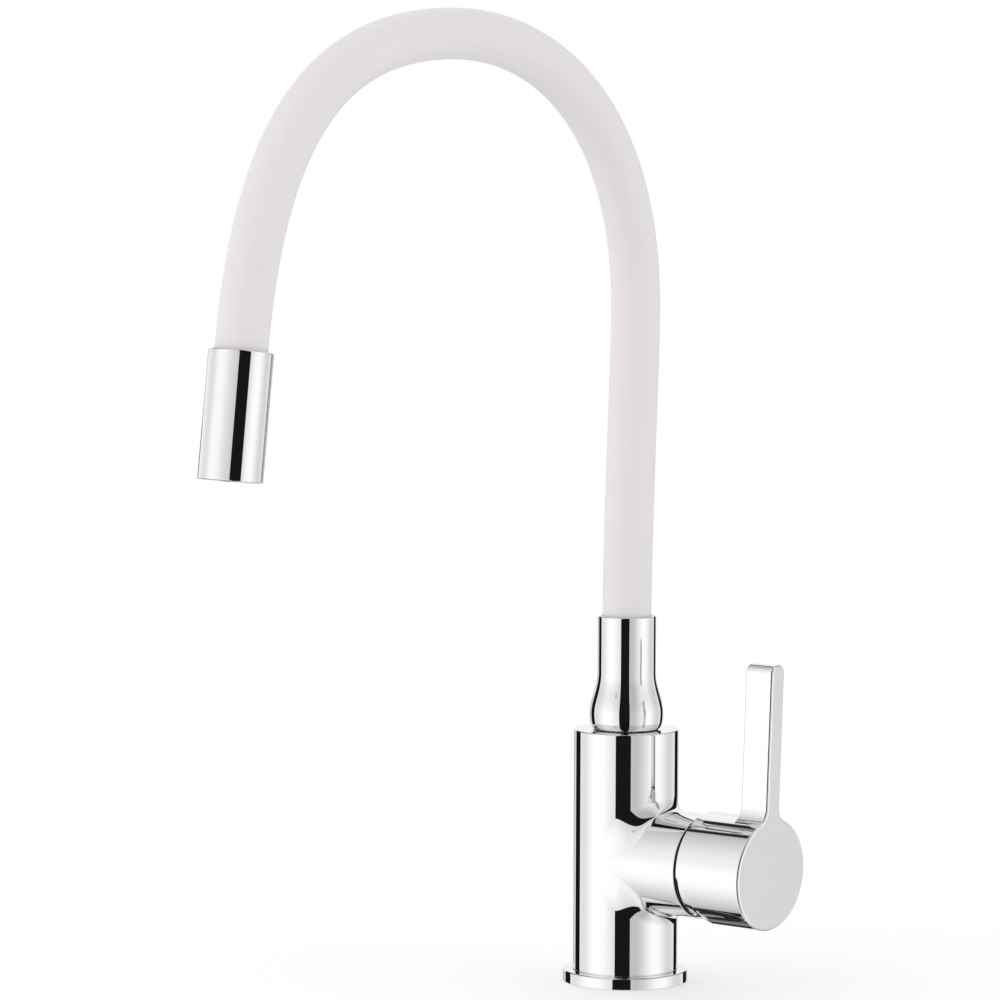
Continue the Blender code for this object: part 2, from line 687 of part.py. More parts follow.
def make_moving_disc():
    offset = port_place(0.0, -DISC_REST_OFFSET)
    disc_end = MOVING_DISC_BACK + MOVING_DISC_HEIGHT
    disc = rod(
        "moving_ceramic_disc", MOVING_DISC_RADIUS, MOVING_DISC_BACK, disc_end, CERAMIC, slide_axis, offset, ROUND
    )
    pocket = block(
        "pocket_cut",
        (-POCKET_LENGTH / 2, -POCKET_WIDTH / 2, MOVING_DISC_BACK - OVERRUN),
        (POCKET_LENGTH / 2, POCKET_WIDTH / 2, MOVING_DISC_BACK + POCKET_DEPTH),
        None,
        slide_axis,
        offset,
    )
    boolean(disc, pocket)

    carrier = rod(
        "disc_carrier", MOVING_DISC_RADIUS, CARRIER_BACK, CARRIER_TOP, GREY_PLASTIC, slide_axis, offset, ROUND
    )
    socket_half = STEM_FOOT_RADIUS + STEM_SHOULDER * math.tan(LIFT_RANGE) / 2 + GAP + GAP
    socket = block(
        "carrier_socket_cut",
        (-socket_half, -STEM_FOOT_RADIUS - GAP, CARRIER_TOP - SOCKET_DEPTH),
        (socket_half, STEM_FOOT_RADIUS + GAP, CARRIER_TOP + OVERRUN),
        None,
        slide_axis,
    )
    boolean(carrier, socket)


def make_rotor():
    outline = [
        (0.0, ROTOR_TOP),
        (ROTOR_NECK_RADIUS, ROTOR_TOP),
        (ROTOR_NECK_RADIUS, ROTOR_SHOULDER),
        (ROTOR_RADIUS, ROTOR_SHOULDER),
        (ROTOR_RADIUS, ROTOR_BACK),
        (0.0, ROTOR_BACK),
    ]
    rotor = turned("cartridge_rotor", outline, WHITE_PLASTIC, turn_axis)
    rail_inner = MOVING_DISC_RADIUS + CAVITY_CLEARANCE
    for side, name in ((1, "front_rail_form"), (-1, "rear_rail_form")):
        edges = sorted((side * rail_inner, side * (rail_inner + RAIL_WIDTH)))
        rail = block(
            name,
            (-RAIL_LENGTH / 2, edges[0], ROTOR_BACK - RAIL_HEIGHT),
            (RAIL_LENGTH / 2, edges[1], ROTOR_BACK + ROTOR_FLANGE / 2),
            None,
            turn_axis,
        )
        boolean(rotor, rail, "UNION")

    # The foot of the stem swings up, along the empty's -X, as the handle is lifted
    foot_reach = PIVOT_X - ROTOR_BACK
    foot_swing = foot_reach * math.sin(LIFT_RANGE) + STEM_FOOT_RADIUS / math.cos(LIFT_RANGE)
    foot_slot = block(
        "rotor_foot_slot_cut",
        (-foot_swing - GAP, -STEM_FOOT_RADIUS - GAP, ROTOR_BACK - OVERRUN),
        (STEM_FOOT_RADIUS + GAP, STEM_FOOT_RADIUS + GAP, ROTOR_SHOULDER + OVERRUN),
        None,
        turn_axis,
    )
    boolean(rotor, foot_slot)
    half = STEM_SIDE / 2
    inner_swing = STEM_SHOULDER * math.tan(LIFT_RANGE) + half / math.cos(LIFT_RANGE)
    outer_swing = ROTOR_PAST_PIN * math.tan(LIFT_RANGE) + half / math.cos(LIFT_RANGE)
    bar_slot = block(
        "rotor_bar_slot_cut",
        (-inner_swing - GAP, -half - GAP, PIVOT_X - STEM_SHOULDER - OVERRUN),
        (outer_swing + GAP, half + GAP, ROTOR_TOP + OVERRUN),
        None,
        turn_axis,
    )
    boolean(rotor, bar_slot)

    pin_half = PIN_LENGTH / 2
    pin_hole = rod("pin_hole_cut", PIN_RADIUS + GAP, -CAP_RADIUS, CAP_RADIUS, None, lift_axis)
    pin_hole.rotation_euler = (QUARTER, 0.0, 0.0)
    boolean(rotor, pin_hole)
    pin = rod("pivot_pin", PIN_RADIUS, -pin_half, pin_half, STEEL, lift_axis, steps=SMALL)
    pin.rotation_euler = (QUARTER, 0.0, 0.0)
    return pin_hole


def make_stem(pin_hole):
    half = STEM_SIDE / 2
    stem = block(
        "lever_stem",
        (-STEM_SHOULDER, -half, -half),
        (STEM_END - PIVOT_X, half, half),
        STEEL,
        lift_axis,
    )
    foot = rod(
        "stem_foot_form", STEM_FOOT_RADIUS, STEM_FOOT_X, PIVOT_X - STEM_SHOULDER + OVERRUN, None, along_arm
    )
    boolean(stem, foot, "UNION")
    boolean(stem, pin_hole)


def lever_outline():
    """Half-width against height above the arm's axis, round the lever and into the disc."""
    half = LEVER_WIDTH / 2
    reach = CAP_RADIUS + LEVER_ROOT_FILLET
    fillet_y = half + LEVER_ROOT_FILLET
    fillet_z = math.sqrt(reach**2 - fillet_y**2)
    meeting = math.atan2(fillet_z, fillet_y)
    tip_y = half - LEVER_TIP_ROUND
    tip_z = LEVER_TIP - LEVER_TIP_ROUND
    root = arc((fillet_y, fillet_z), LEVER_ROOT_FILLET, meeting + math.pi, math.pi, LEVER_ROOT_STEPS)
    tip = arc((tip_y, tip_z), LEVER_TIP_ROUND, 0.0, QUARTER, LEVER_TIP_STEPS)
    inside = CAP_BORE * math.cos(meeting), CAP_BORE * math.sin(meeting)
    right = [inside] + root + tip
    return right + [(-y, z) for y, z in reversed(right)]


def make_lever():
    """The lever as a flat outline with a depth, leaning outwards a little."""
    curve = bpy.data.curves.new("lever_form", "CURVE")
    curve.dimensions = "2D"
    curve.fill_mode = "BOTH"
    curve.extrude = LEVER_DEPTH / 2
    points = lever_outline()
    spline = curve.splines.new("POLY")
    spline.points.add(len(points) - 1)
    for point, (y, z) in zip(spline.points, points):
        point.co = (y, z, 0.0, 1.0)
    spline.use_cyclic_u = True
    flat = bpy.data.objects.new("lever_outline", curve)
    CUTTERS.objects.link(flat)
    flat.location = (CAP_FRONT, 0.0, ARM_AXIS_HEIGHT)
    bpy.context.view_layer.update()
    mesh = bpy.data.meshes.new_from_object(flat.evaluated_get(bpy.context.evaluated_depsgraph_get()))
    stand = Matrix.Rotation(QUARTER, 4, "Z") @ Matrix.Rotation(QUARTER, 4, "X")
    shift = Matrix.Translation((-LEVER_SETBACK - LEVER_DEPTH / 2, 0.0, 0.0))
    lean = Matrix.Identity(4)
    lean[0][2] = math.tan(FACE_LEAN)
    mesh.transform(lean @ shift @ stand)
    bm = bmesh.new()
    bm.from_mesh(mesh)
    bmesh.ops.remove_doubles(bm, verts=bm.verts, dist=WELD_DISTANCE)
    bm.to_mesh(mesh)
    bm.free()
    lever = add("lever_form", mesh, None)
    lever.matrix_world = flat.matrix_world
    bpy.data.objects.remove(flat, do_unlink=True)
    bevel = lever.modifiers.new("edges", "BEVEL")
    bevel.width = LEVER_EDGE
    bevel.segments = 2
    bevel.limit_method = "ANGLE"
    bevel.angle_limit = LEVER_EDGE_ANGLE
    return lever


def make_cap(boss_back):
    """The turned cap, whose face leans outwards so that it lies in one plane with the lever's."""
    outline = [
        (0.0, CAP_FRONT),
        (CAP_RADIUS - CAP_EDGE, CAP_FRONT),
        (CAP_RADIUS, CAP_FRONT - CAP_EDGE),
        (CAP_RADIUS, PIVOT_X),
        (CAP_BORE, PIVOT_X),
        (CAP_BORE, CAP_FLOOR),
        (BOSS_RADIUS, CAP_FLOOR),
        (BOSS_RADIUS, boss_back),
        (0.0, boss_back),
    ]
    shifted = [(radius, height - PIVOT_X) for radius, height in outline]
    form = turned("cap_form", shifted, None, steps=FINE)
    bpy.context.view_layer.update()
    mesh = bpy.data.meshes.new_from_object(form.evaluated_get(bpy.context.evaluated_depsgraph_get()))
    bpy.data.objects.remove(form, do_unlink=True)
    for vert in mesh.vertices:
        if vert.co.z > CAP_LENGTH - CAP_EDGE - MERGE_DISTANCE:
            vert.co.z -= vert.co.x * math.tan(FACE_LEAN)
    return mesh


def make_handle():
    boss_back = CAP_FLOOR - BOSS_HEIGHT
    handle = add("handle", make_cap(boss_back), CHROME, lift_axis)
    handle.rotation_euler = (0.0, QUARTER, 0.0)
    boolean(handle, make_lever(), "UNION")

    relief_angle = LIFT_RANGE + RELIEF_MARGIN
    far = CAP_RADIUS + CAP_LENGTH
    relief = block("relief_cut", (-far, -far, -far), (0.0, far, far), None, lift_axis, (0.0, 0.0, RELIEF_START))
    relief.rotation_euler = (0.0, -relief_angle, 0.0)
    boolean(handle, relief)
    socket_half = STEM_SIDE / 2 + GAP
    socket = block(
        "stem_socket_cut",
        (boss_back - PIVOT_X - OVERRUN, -socket_half, -socket_half),
        (STEM_END - PIVOT_X + GAP, socket_half, socket_half),
        None,
        lift_axis,
    )
    boolean(handle, socket)

    # The screw goes up from the underside of the cap, so these heights count from the arm's axis
    at_screw = (GRUB_X - PIVOT_X, 0.0, 0.0)
    screw_top = -(socket_half + GAP)
    screw_hole = rod("grub_hole_cut", GRUB_RADIUS + GAP, -CAP_RADIUS - OVERRUN, 0.0, None, lift_axis, at_screw)
    boolean(handle, screw_hole)
    rod("handle_grub_screw", GRUB_RADIUS, screw_top - GRUB_LENGTH, screw_top, STEEL, lift_axis, at_screw, SMALL)
    head_bottom = PLUG_SUNK - CAP_RADIUS
    head_top = head_bottom + PLUG_HEAD
    seat = rod(
        "plug_seat_cut", PLUG_HEAD_RADIUS + GAP, -CAP_RADIUS - OVERRUN, head_top + GAP, None, lift_axis, at_screw
    )
    boolean(handle, seat)
    plug = [
        (0.0, head_top + PLUG_STALK),
        (PLUG_STALK_RADIUS, head_top + PLUG_STALK),
        (PLUG_STALK_RADIUS, head_top),
        (PLUG_HEAD_RADIUS, head_top),
        (PLUG_HEAD_RADIUS, head_bottom),
        (0.0, head_bottom),
    ]
    turned("screw_plug", plug, GREY_PLASTIC, lift_axis, at_screw, SMALL)


def make_dome():
    """A ring of a sphere about the pivot, so that the cap stays clear of it as it tilts."""
    inner = DOME_RADIUS - DOME_WALL
    hole_angle = math.acos(DOME_HOLE_RADIUS / DOME_RADIUS)
    inner_hole_angle = math.acos(DOME_HOLE_RADIUS / inner)
    skirt_inner = NUT_COLLAR_RADIUS + GAP
    skirt_outer = skirt_inner + DOME_SKIRT_WALL
    skirt_angle = math.acos(skirt_inner / inner)
    seat = PIVOT_X - DOME_FLANGE
    outer_arc = arc((0.0, PIVOT_X), DOME_RADIUS, hole_angle, 0.0, DOME_ARC_STEPS)
    inner_arc = arc((0.0, PIVOT_X), inner, skirt_angle, inner_hole_angle, DOME_ARC_STEPS // 2)
    outline = outer_arc + [
        (DOME_RADIUS, seat),
        (skirt_outer, seat),
        (skirt_outer, seat - DOME_SKIRT_LENGTH),
        (skirt_inner, seat - DOME_SKIRT_LENGTH),
    ] + inner_arc
    turned("trim_dome", outline, CHROME, along_arm, steps=FINE, ring=True)


def neck_outer_side():
    """The outside of the neck from its top down: barrel, smooth flare, bulb and foot."""
    flare_top = NECK_BOTTOM + NECK_FLARE_HEIGHT
    bulb = NECK_BOTTOM + NECK_BULB_HEIGHT
    points = [(NECK_BARREL_RADIUS - NECK_EDGE, NECK_TOP), (NECK_BARREL_RADIUS, NECK_TOP - NECK_EDGE)]
    for i in range(NECK_FLARE_STEPS + 1):
        share = i / NECK_FLARE_STEPS
        swell = (1.0 - math.cos(math.pi * share)) / 2
        radius = NECK_BARREL_RADIUS + (NECK_BULB_RADIUS - NECK_BARREL_RADIUS) * swell
        points.append((radius, flare_top + (bulb - flare_top) * share))
    for i in range(1, NECK_BULB_STEPS + 1):
        share = 1.0 - i / NECK_BULB_STEPS
        swell = math.sin(QUARTER * share)
        radius = NECK_FOOT_RADIUS + (NECK_BULB_RADIUS - NECK_FOOT_RADIUS) * swell
        points.append((radius, NECK_BOTTOM + NECK_BULB_HEIGHT * share))
    return points


def groove(depth, width, radius):
    """A groove round the spigot, centred at a depth under the neck's foot."""
    centre = NECK_BOTTOM - depth
    top = centre + width / 2
    bottom = centre - width / 2
    return [(SPIGOT_RADIUS, top), (radius, top), (radius, bottom), (SPIGOT_RADIUS, bottom)]


def make_neck():
    screw_groove_width = 2 * (SCREW_RADIUS + SCREW_SIDE_PLAY)
    screw_groove_radius = SPIGOT_RADIUS - SCREW_GROOVE_CUT
    outline = neck_outer_side() + [(SPIGOT_RADIUS, NECK_BOTTOM)]
    outline += groove(UPPER_ORING_DEPTH, ORING_GROOVE_WIDTH, ORING_GROOVE_RADIUS)
    outline += groove(SCREW_GROOVE_DEPTH, screw_groove_width, screw_groove_radius)
    outline += groove(LOWER_ORING_DEPTH, ORING_GROOVE_WIDTH, ORING_GROOVE_RADIUS)
    outline += [
        (SPIGOT_RADIUS, SPIGOT_BOTTOM),
        (SHANK_BORE_RADIUS, SPIGOT_BOTTOM),
        (SHANK_BORE_RADIUS, NECK_SHOULDER),
        (SOCKET_RADIUS, NECK_SHOULDER),
        (SOCKET_RADIUS, NECK_TOP),
    ]
    turned("neck", outline, CHROME, swivel_axis, steps=FINE, ring=True)

    seal_ring("upper_swivel_seal", ORING_MAJOR, ORING_MINOR, NECK_BOTTOM - UPPER_ORING_DEPTH, swivel_axis)
    seal_ring("lower_swivel_seal", ORING_MAJOR, ORING_MINOR, NECK_BOTTOM - LOWER_ORING_DEPTH, swivel_axis)

    tube("swivel_bush", BUSH_INNER + BUSH_WALL, BUSH_INNER, COLUMN_TOP - BUSH_HEIGHT, COLUMN_TOP, WHITE_PLASTIC)
    screw = rod(
        "spout_retaining_screw",
        SCREW_RADIUS,
        screw_groove_radius + GAP,
        COLUMN_RADIUS - SCREW_SUNK,
        STEEL,
        location=(0.0, 0.0, NECK_BOTTOM - SCREW_GROOVE_DEPTH),
    )
    screw.rotation_euler = (-QUARTER, 0.0, 0.0)


def bezier(start, start_pull, end_pull, end, steps):
    """Points of a cubic curve in the plane x = 0, without its first point."""
    points = []
    for i in range(1, steps + 1):
        t = i / steps
        s = 1.0 - t
        points.append(s**3 * start + 3 * s * s * t * start_pull + 3 * s * t * t * end_pull + t**3 * end)
    return points


def hose_route(extra=0.0):
    """The centre line of the spout from inside the neck to inside the outlet."""
    up = Vector((0.0, 0.0, 1.0))
    out = Vector((0.0, -1.0, 0.0))
    down = Vector((0.0, -math.sin(OUTLET_TILT), -math.cos(OUTLET_TILT)))
    neck_top = Vector((0.0, 0.0, NECK_TOP))
    bow = Vector((0.0, BOW_BACK, BOW_HEIGHT))
    top = BEND_PLACE
    outlet = OUTLET_PLACE
    points = [neck_top - up * (HOSE_IN_NECK + extra), neck_top]
    points += bezier(neck_top, neck_top + up * NECK_PULL, bow - up * BOW_LOWER_PULL, bow, LEG_STEPS)
    points += bezier(bow, bow + up * BOW_UPPER_PULL, top - out * ARCH_NEAR_PULL, top, RISE_STEPS)
    points += bezier(top, top + out * ARCH_FAR_PULL, outlet - down * OUTLET_PULL, outlet, FALL_STEPS)
    points.append(outlet + down * (HOSE_IN_OUTLET + extra))
    return points


def hose_form(name, radius, sides, material, extra=0.0):
    """A solid round bar along the spout's route, as a mesh with welded caps."""
    curve = bpy.data.curves.new(name, "CURVE")
    curve.dimensions = "3D"
    curve.bevel_depth = radius
    curve.bevel_resolution = (sides - 4) // 2
    curve.use_fill_caps = True
    points = hose_route(extra)
    spline = curve.splines.new("POLY")
    spline.points.add(len(points) - 1)
    for point, place in zip(spline.points, points):
        point.co = (*place, 1.0)
    route = bpy.data.objects.new(name + "_route", curve)
    CUTTERS.objects.link(route)
    bpy.context.view_layer.update()
    mesh = bpy.data.meshes.new_from_object(route.evaluated_get(bpy.context.evaluated_depsgraph_get()))
    bm = bmesh.new()
    bm.from_mesh(mesh)
    bmesh.ops.remove_doubles(bm, verts=bm.verts, dist=WELD_DISTANCE)
    bmesh.ops.recalc_face_normals(bm, faces=bm.faces)
    bm.to_mesh(mesh)
    bm.free()
    obj = add(name, mesh, material, lean_axis)
    bpy.context.view_layer.update()
    obj.matrix_world = route.matrix_world
    bpy.data.objects.remove(route, do_unlink=True)
    return obj


def make_hose():
    layers = (
        ("hose_sleeve", HOSE_RADIUS, SLEEVE_SIDES, SLEEVE_BORE, CORE_SIDES, SILICONE),
        ("flex_core", CORE_RADIUS, CORE_SIDES, CORE_BORE, TUBE_SIDES, STEEL),
        ("water_tube", TUBE_RADIUS, TUBE_SIDES, TUBE_BORE, TUBE_SIDES, PEX),
    )
    for name, radius, sides, bore, bore_sides, material in layers:
        layer = hose_form(name, radius, sides, material)
        boolean(layer, hose_form(name + "_bore_cut", bore, bore_sides, None, OVERRUN))


def ferrule(name, seat, way, parent):
    """A flange on its seat, a shank one way and a barb in the water tube the other way."""
    flange = seat + way * GAP
    top = flange + way * FERRULE_FLANGE
    outline = [
        (FERRULE_BORE, top + way * FERRULE_BARB),
        (BARB_RADIUS, top + way * FERRULE_BARB),
        (BARB_RADIUS, top),
        (FERRULE_FLANGE_RADIUS, top),
        (FERRULE_FLANGE_RADIUS, flange),
        (FERRULE_SHANK_RADIUS, flange),
        (FERRULE_SHANK_RADIUS, flange - way * FERRULE_SHANK),
        (FERRULE_BORE, flange - way * FERRULE_SHANK),
    ]
    turned(name, outline, BRASS, parent, steps=SMALL, ring=True)


def make_outlet():
    sleeve = [
        (SOCKET_RADIUS, 0.0),
        (OUTLET_RADIUS - OUTLET_EDGE, 0.0),
        (OUTLET_RADIUS, -OUTLET_EDGE),
        (OUTLET_RADIUS, OUTLET_EDGE - OUTLET_LENGTH),
        (OUTLET_RADIUS - OUTLET_EDGE, -OUTLET_LENGTH),
        (AERATOR_CHAMBER_RADIUS, -OUTLET_LENGTH),
        (AERATOR_CHAMBER_RADIUS, CHAMBER_TOP),
        (SHANK_BORE_RADIUS, CHAMBER_TOP),
        (SHANK_BORE_RADIUS, OUTLET_SHOULDER),
        (SOCKET_RADIUS, OUTLET_SHOULDER),
    ]
    turned("outlet_sleeve", sleeve, CHROME, outlet_axis, steps=FINE, ring=True)

    washer_top = CHAMBER_TOP - GAP
    tube(
        "aerator_washer",
        AERATOR_RADIUS,
        AERATOR_RADIUS - WASHER_WALL,
        washer_top - WASHER_HEIGHT,
        washer_top,
        RUBBER,
        outlet_axis,
    )
    bore = AERATOR_RADIUS - AERATOR_WALL
    lip_top = AERATOR_BOTTOM + AERATOR_LIP_HEIGHT
    housing = [
        (bore, AERATOR_TOP),
        (AERATOR_RADIUS, AERATOR_TOP),
        (AERATOR_RADIUS, AERATOR_BOTTOM),
        (bore - AERATOR_LIP, AERATOR_BOTTOM),
        (bore - AERATOR_LIP, lip_top),
        (bore, lip_top),
    ]
    turned("aerator_housing", housing, CHROME, outlet_axis, ring=True)

    insert_bottom = lip_top + GAP
    insert_top = AERATOR_TOP - INSERT_TOP_GAP
    insert = rod("aerator_insert", bore - GAP, insert_bottom, insert_top, WHITE_PLASTIC, outlet_axis, steps=ROUND)
    places = [(0.0, 0.0)] + arc((0.0, 0.0), JET_CIRCLE, 0.0, math.tau * (JETS - 1) / JETS, JETS - 1)
    for number, (x, y) in enumerate(places):
        jet = rod(
            f"jet_{number}_cut",
            JET_RADIUS,
            insert_bottom - OVERRUN,
            insert_top + OVERRUN,
            None,
            outlet_axis,
            (x, y, 0.0),
            JET_SIDES,
        )
        boolean(insert, jet)


make_base()
make_body()
make_deck_kit()
make_cartridge()
make_moving_disc()
make_stem(make_rotor())
make_handle()
make_dome()
make_neck()
make_hose()
ferrule("lower_ferrule", NECK_SHOULDER, 1, swivel_axis)
ferrule("upper_ferrule", OUTLET_SHOULDER, 1, outlet_axis)
make_outlet()

bpy.context.view_layer.update()
for piece in list(FAUCET.objects):
    if piece.type == "MESH":
        settle(piece)
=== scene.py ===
"""The looks of a flexible kitchen faucet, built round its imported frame.

The frame's origin is the middle of the underside, on the worktop. +Z is up along the column, the arm
with its handle points along +X, and the spout reaches along -Y. Lengths are in metres.
"""

import math

import bmesh
import bpy
from mathutils import Matrix, Vector


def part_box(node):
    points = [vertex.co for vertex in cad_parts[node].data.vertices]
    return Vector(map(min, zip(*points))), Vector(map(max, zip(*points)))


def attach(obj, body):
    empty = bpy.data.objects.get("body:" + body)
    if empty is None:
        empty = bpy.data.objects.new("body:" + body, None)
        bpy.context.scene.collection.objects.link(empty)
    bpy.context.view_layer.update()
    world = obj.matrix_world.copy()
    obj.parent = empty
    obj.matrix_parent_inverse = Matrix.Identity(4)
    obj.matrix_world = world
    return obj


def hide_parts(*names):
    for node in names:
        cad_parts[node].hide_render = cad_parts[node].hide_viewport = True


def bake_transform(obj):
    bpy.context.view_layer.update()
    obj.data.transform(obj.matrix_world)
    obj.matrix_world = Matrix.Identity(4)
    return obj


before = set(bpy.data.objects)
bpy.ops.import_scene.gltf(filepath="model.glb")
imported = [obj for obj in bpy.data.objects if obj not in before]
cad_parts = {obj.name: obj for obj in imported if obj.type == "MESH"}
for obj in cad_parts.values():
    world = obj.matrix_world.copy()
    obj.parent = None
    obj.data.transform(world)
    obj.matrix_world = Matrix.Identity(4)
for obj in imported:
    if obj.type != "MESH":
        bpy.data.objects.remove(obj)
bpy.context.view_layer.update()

# Base ring
# A turned brass ring with a polished chrome plate. It covers the hole in the worktop, and the
# column stands in the shallow recess in its top.
MM = 0.001
CLEARANCE = 0.3 * MM
WELD = 0.001 * MM
ROUND_SIDES = 192
EDGE_STEPS = 5
SHARP_ANGLE = math.radians(32.0)

CHROME_COLOUR = (0.85, 0.85, 0.852, 1.0)
CHROME_HAZE = (0.835, 0.835, 0.837, 1.0)

RING_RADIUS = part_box("base_ring")[1].x
RING_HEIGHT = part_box("base_ring")[1].z
RING_EDGE = 0.7 * MM
RING_RECESS = 0.6 * MM
RING_BORE = 16.5 * MM
GASKET_INNER = 18.5 * MM
GASKET_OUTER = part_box("base_gasket")[1].x
GASKET_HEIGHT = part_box("base_gasket")[1].z
COLUMN_RADIUS = -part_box("body")[0].x


def surface_group():
    """A node group that varies a finish: patchy colour, patchy roughness and a fine grain height."""
    group = bpy.data.node_groups.new("surface_finish", "ShaderNodeTree")
    inputs = (
        ("Colour", "NodeSocketColor"),
        ("Patch Colour", "NodeSocketColor"),
        ("Patches per Metre", "NodeSocketFloat"),
        ("Grains per Metre", "NodeSocketFloat"),
        ("Smoothest", "NodeSocketFloat"),
        ("Roughest", "NodeSocketFloat"),
    )
    for name, kind in inputs:
        group.interface.new_socket(name, in_out="INPUT", socket_type=kind)
    outputs = (
        ("Colour", "NodeSocketColor"),
        ("Roughness", "NodeSocketFloat"),
        ("Height", "NodeSocketFloat"),
    )
    for name, kind in outputs:
        group.interface.new_socket(name, in_out="OUTPUT", socket_type=kind)
    nodes = group.nodes
    links = group.links
    given = nodes.new("NodeGroupInput")
    made = nodes.new("NodeGroupOutput")
    place = nodes.new("ShaderNodeTexCoord")
    patches = nodes.new("ShaderNodeTexNoise")
    patches.inputs["Detail"].default_value = 4.0
    grain = nodes.new("ShaderNodeTexNoise")
    grain.inputs["Detail"].default_value = 2.0
    blend = nodes.new("ShaderNodeMix")
    blend.data_type = "RGBA"
    spread = nodes.new("ShaderNodeMapRange")
    links.new(place.outputs["Object"], patches.inputs["Vector"])
    links.new(place.outputs["Object"], grain.inputs["Vector"])
    links.new(given.outputs["Patches per Metre"], patches.inputs["Scale"])
    links.new(given.outputs["Grains per Metre"], grain.inputs["Scale"])
    links.new(patches.outputs["Fac"], blend.inputs["Factor"])
    links.new(given.outputs["Colour"], blend.inputs["A"])
    links.new(given.outputs["Patch Colour"], blend.inputs["B"])
    links.new(patches.outputs["Fac"], spread.inputs["Value"])
    links.new(given.outputs["Smoothest"], spread.inputs["To Min"])
    links.new(given.outputs["Roughest"], spread.inputs["To Max"])
    links.new(blend.outputs["Result"], made.inputs["Colour"])
    links.new(spread.outputs["Result"], made.inputs["Roughness"])
    links.new(grain.outputs["Fac"], made.inputs["Height"])
    return group


SURFACE_FINISH = surface_group()


def finish(name, colour, patch_colour, patches, grains, roughness, bump):
    """A material with the surface finish group on it. Returns it with its shader node."""
    material = bpy.data.materials.new(name)
    material.use_nodes = True
    nodes = material.node_tree.nodes
    links = material.node_tree.links
    shader = nodes["Principled BSDF"]
    surface = nodes.new("ShaderNodeGroup")
    surface.node_tree = SURFACE_FINISH
    surface.inputs["Colour"].default_value = colour
    surface.inputs["Patch Colour"].default_value = patch_colour
    surface.inputs["Patches per Metre"].default_value = patches
    surface.inputs["Grains per Metre"].default_value = grains
    surface.inputs["Smoothest"].default_value = roughness[0]
    surface.inputs["Roughest"].default_value = roughness[1]
    relief = nodes.new("ShaderNodeBump")
    relief.inputs["Strength"].default_value = bump[0]
    relief.inputs["Distance"].default_value = bump[1]
    links.new(surface.outputs["Colour"], shader.inputs["Base Color"])
    links.new(surface.outputs["Roughness"], shader.inputs["Roughness"])
    links.new(surface.outputs["Height"], relief.inputs["Height"])
    links.new(relief.outputs["Normal"], shader.inputs["Normal"])
    return material, shader


CHROME, chrome_shader = finish(
    "polished_chrome", CHROME_COLOUR, CHROME_HAZE, 60.0, 400.0, (0.015, 0.03), (0.008, 0.01 * MM)
)
chrome_shader.inputs["Metallic"].default_value = 1.0

RUBBER, rubber_shader = finish(
    "black_rubber",
    (0.018, 0.018, 0.019, 1.0),
    (0.028, 0.027, 0.027, 1.0),
    120.0,
    2500.0,
    (0.5, 0.68),
    (0.3, 0.05 * MM),
)
rubber_shader.inputs["Specular IOR Level"].default_value = 0.4


def new_object(name, bm):
    """An object from a bmesh, smooth but for its sharp edges."""
    mesh = bpy.data.meshes.new(name)
    bm.to_mesh(mesh)
    bm.free()
    mesh.shade_smooth()
    mesh.set_sharp_from_angle(angle=SHARP_ANGLE)
    obj = bpy.data.objects.new(name, mesh)
    bpy.context.scene.collection.objects.link(obj)
    return obj


def turned(name, outline, place=Matrix(), ring=False, sides=ROUND_SIDES):
    """A piece turned on a lathe. The outline goes from corner to corner as (radius, height, rounding),
    closed on itself for a ring and otherwise from the axis to the axis."""
    bm = bmesh.new()
    corners = [bm.verts.new((radius, 0.0, height)) for radius, height, _ in outline]
    for pair in zip(corners, corners[1:]):
        bm.edges.new(pair)
    if ring:
        bm.edges.new((corners[-1], corners[0]))
    for corner, (_, _, rounding) in zip(corners, outline):
        if rounding > 0.0:
            bmesh.ops.bevel(
                bm,
                geom=[corner],
                offset=rounding,
                offset_type="OFFSET",
                affect="VERTICES",
                segments=EDGE_STEPS,
                profile=0.5,
                material=-1,
            )
    bmesh.ops.spin(
        bm,
        geom=bm.verts[:] + bm.edges[:],
        axis=(0.0, 0.0, 1.0),
        cent=(0.0, 0.0, 0.0),
        angle=math.tau,
        steps=sides,
        use_merge=True,
    )
    bmesh.ops.remove_doubles(bm, verts=bm.verts, dist=WELD)
    bmesh.ops.recalc_face_normals(bm, faces=bm.faces)
    bm.transform(place)
    return new_object(name, bm)


def dress(obj, material, slot, body, *nodes):
    """Gives a rigid piece its finish and its place on a body, where it stands for CAD nodes."""
    obj.data.materials.clear()
    obj.data.materials.append(material)
    obj.data.shade_smooth()
    obj.data.set_sharp_from_angle(angle=SHARP_ANGLE)
    even = obj.modifiers.new("even_shading", "WEIGHTED_NORMAL")
    even.keep_sharp = True
    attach(obj, body)
    if nodes:
        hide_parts(*nodes)
    return obj


ring_seat = COLUMN_RADIUS + CLEARANCE
ring_outline = [
    (ring_seat, RING_HEIGHT, 0.15 * MM),
    (RING_RADIUS, RING_HEIGHT, RING_EDGE),
    (RING_RADIUS, 0.0, 0.1 * MM),
    (GASKET_OUTER + CLEARANCE, 0.0, 0.1 * MM),
    (GASKET_OUTER + CLEARANCE, GASKET_HEIGHT + CLEARANCE, 0.0),
    (GASKET_INNER - CLEARANCE, GASKET_HEIGHT + CLEARANCE, 0.0),
    (GASKET_INNER - CLEARANCE, 0.0, 0.1 * MM),
    (RING_BORE, 0.0, 0.1 * MM),
    (RING_BORE, RING_HEIGHT - RING_RECESS, 0.0),
    (ring_seat, RING_HEIGHT - RING_RECESS, 0.0),
]
base_ring = turned("polished_base_ring", ring_outline, ring=True)
dress(base_ring, CHROME, "chrome", "faucet_body", "base_ring")

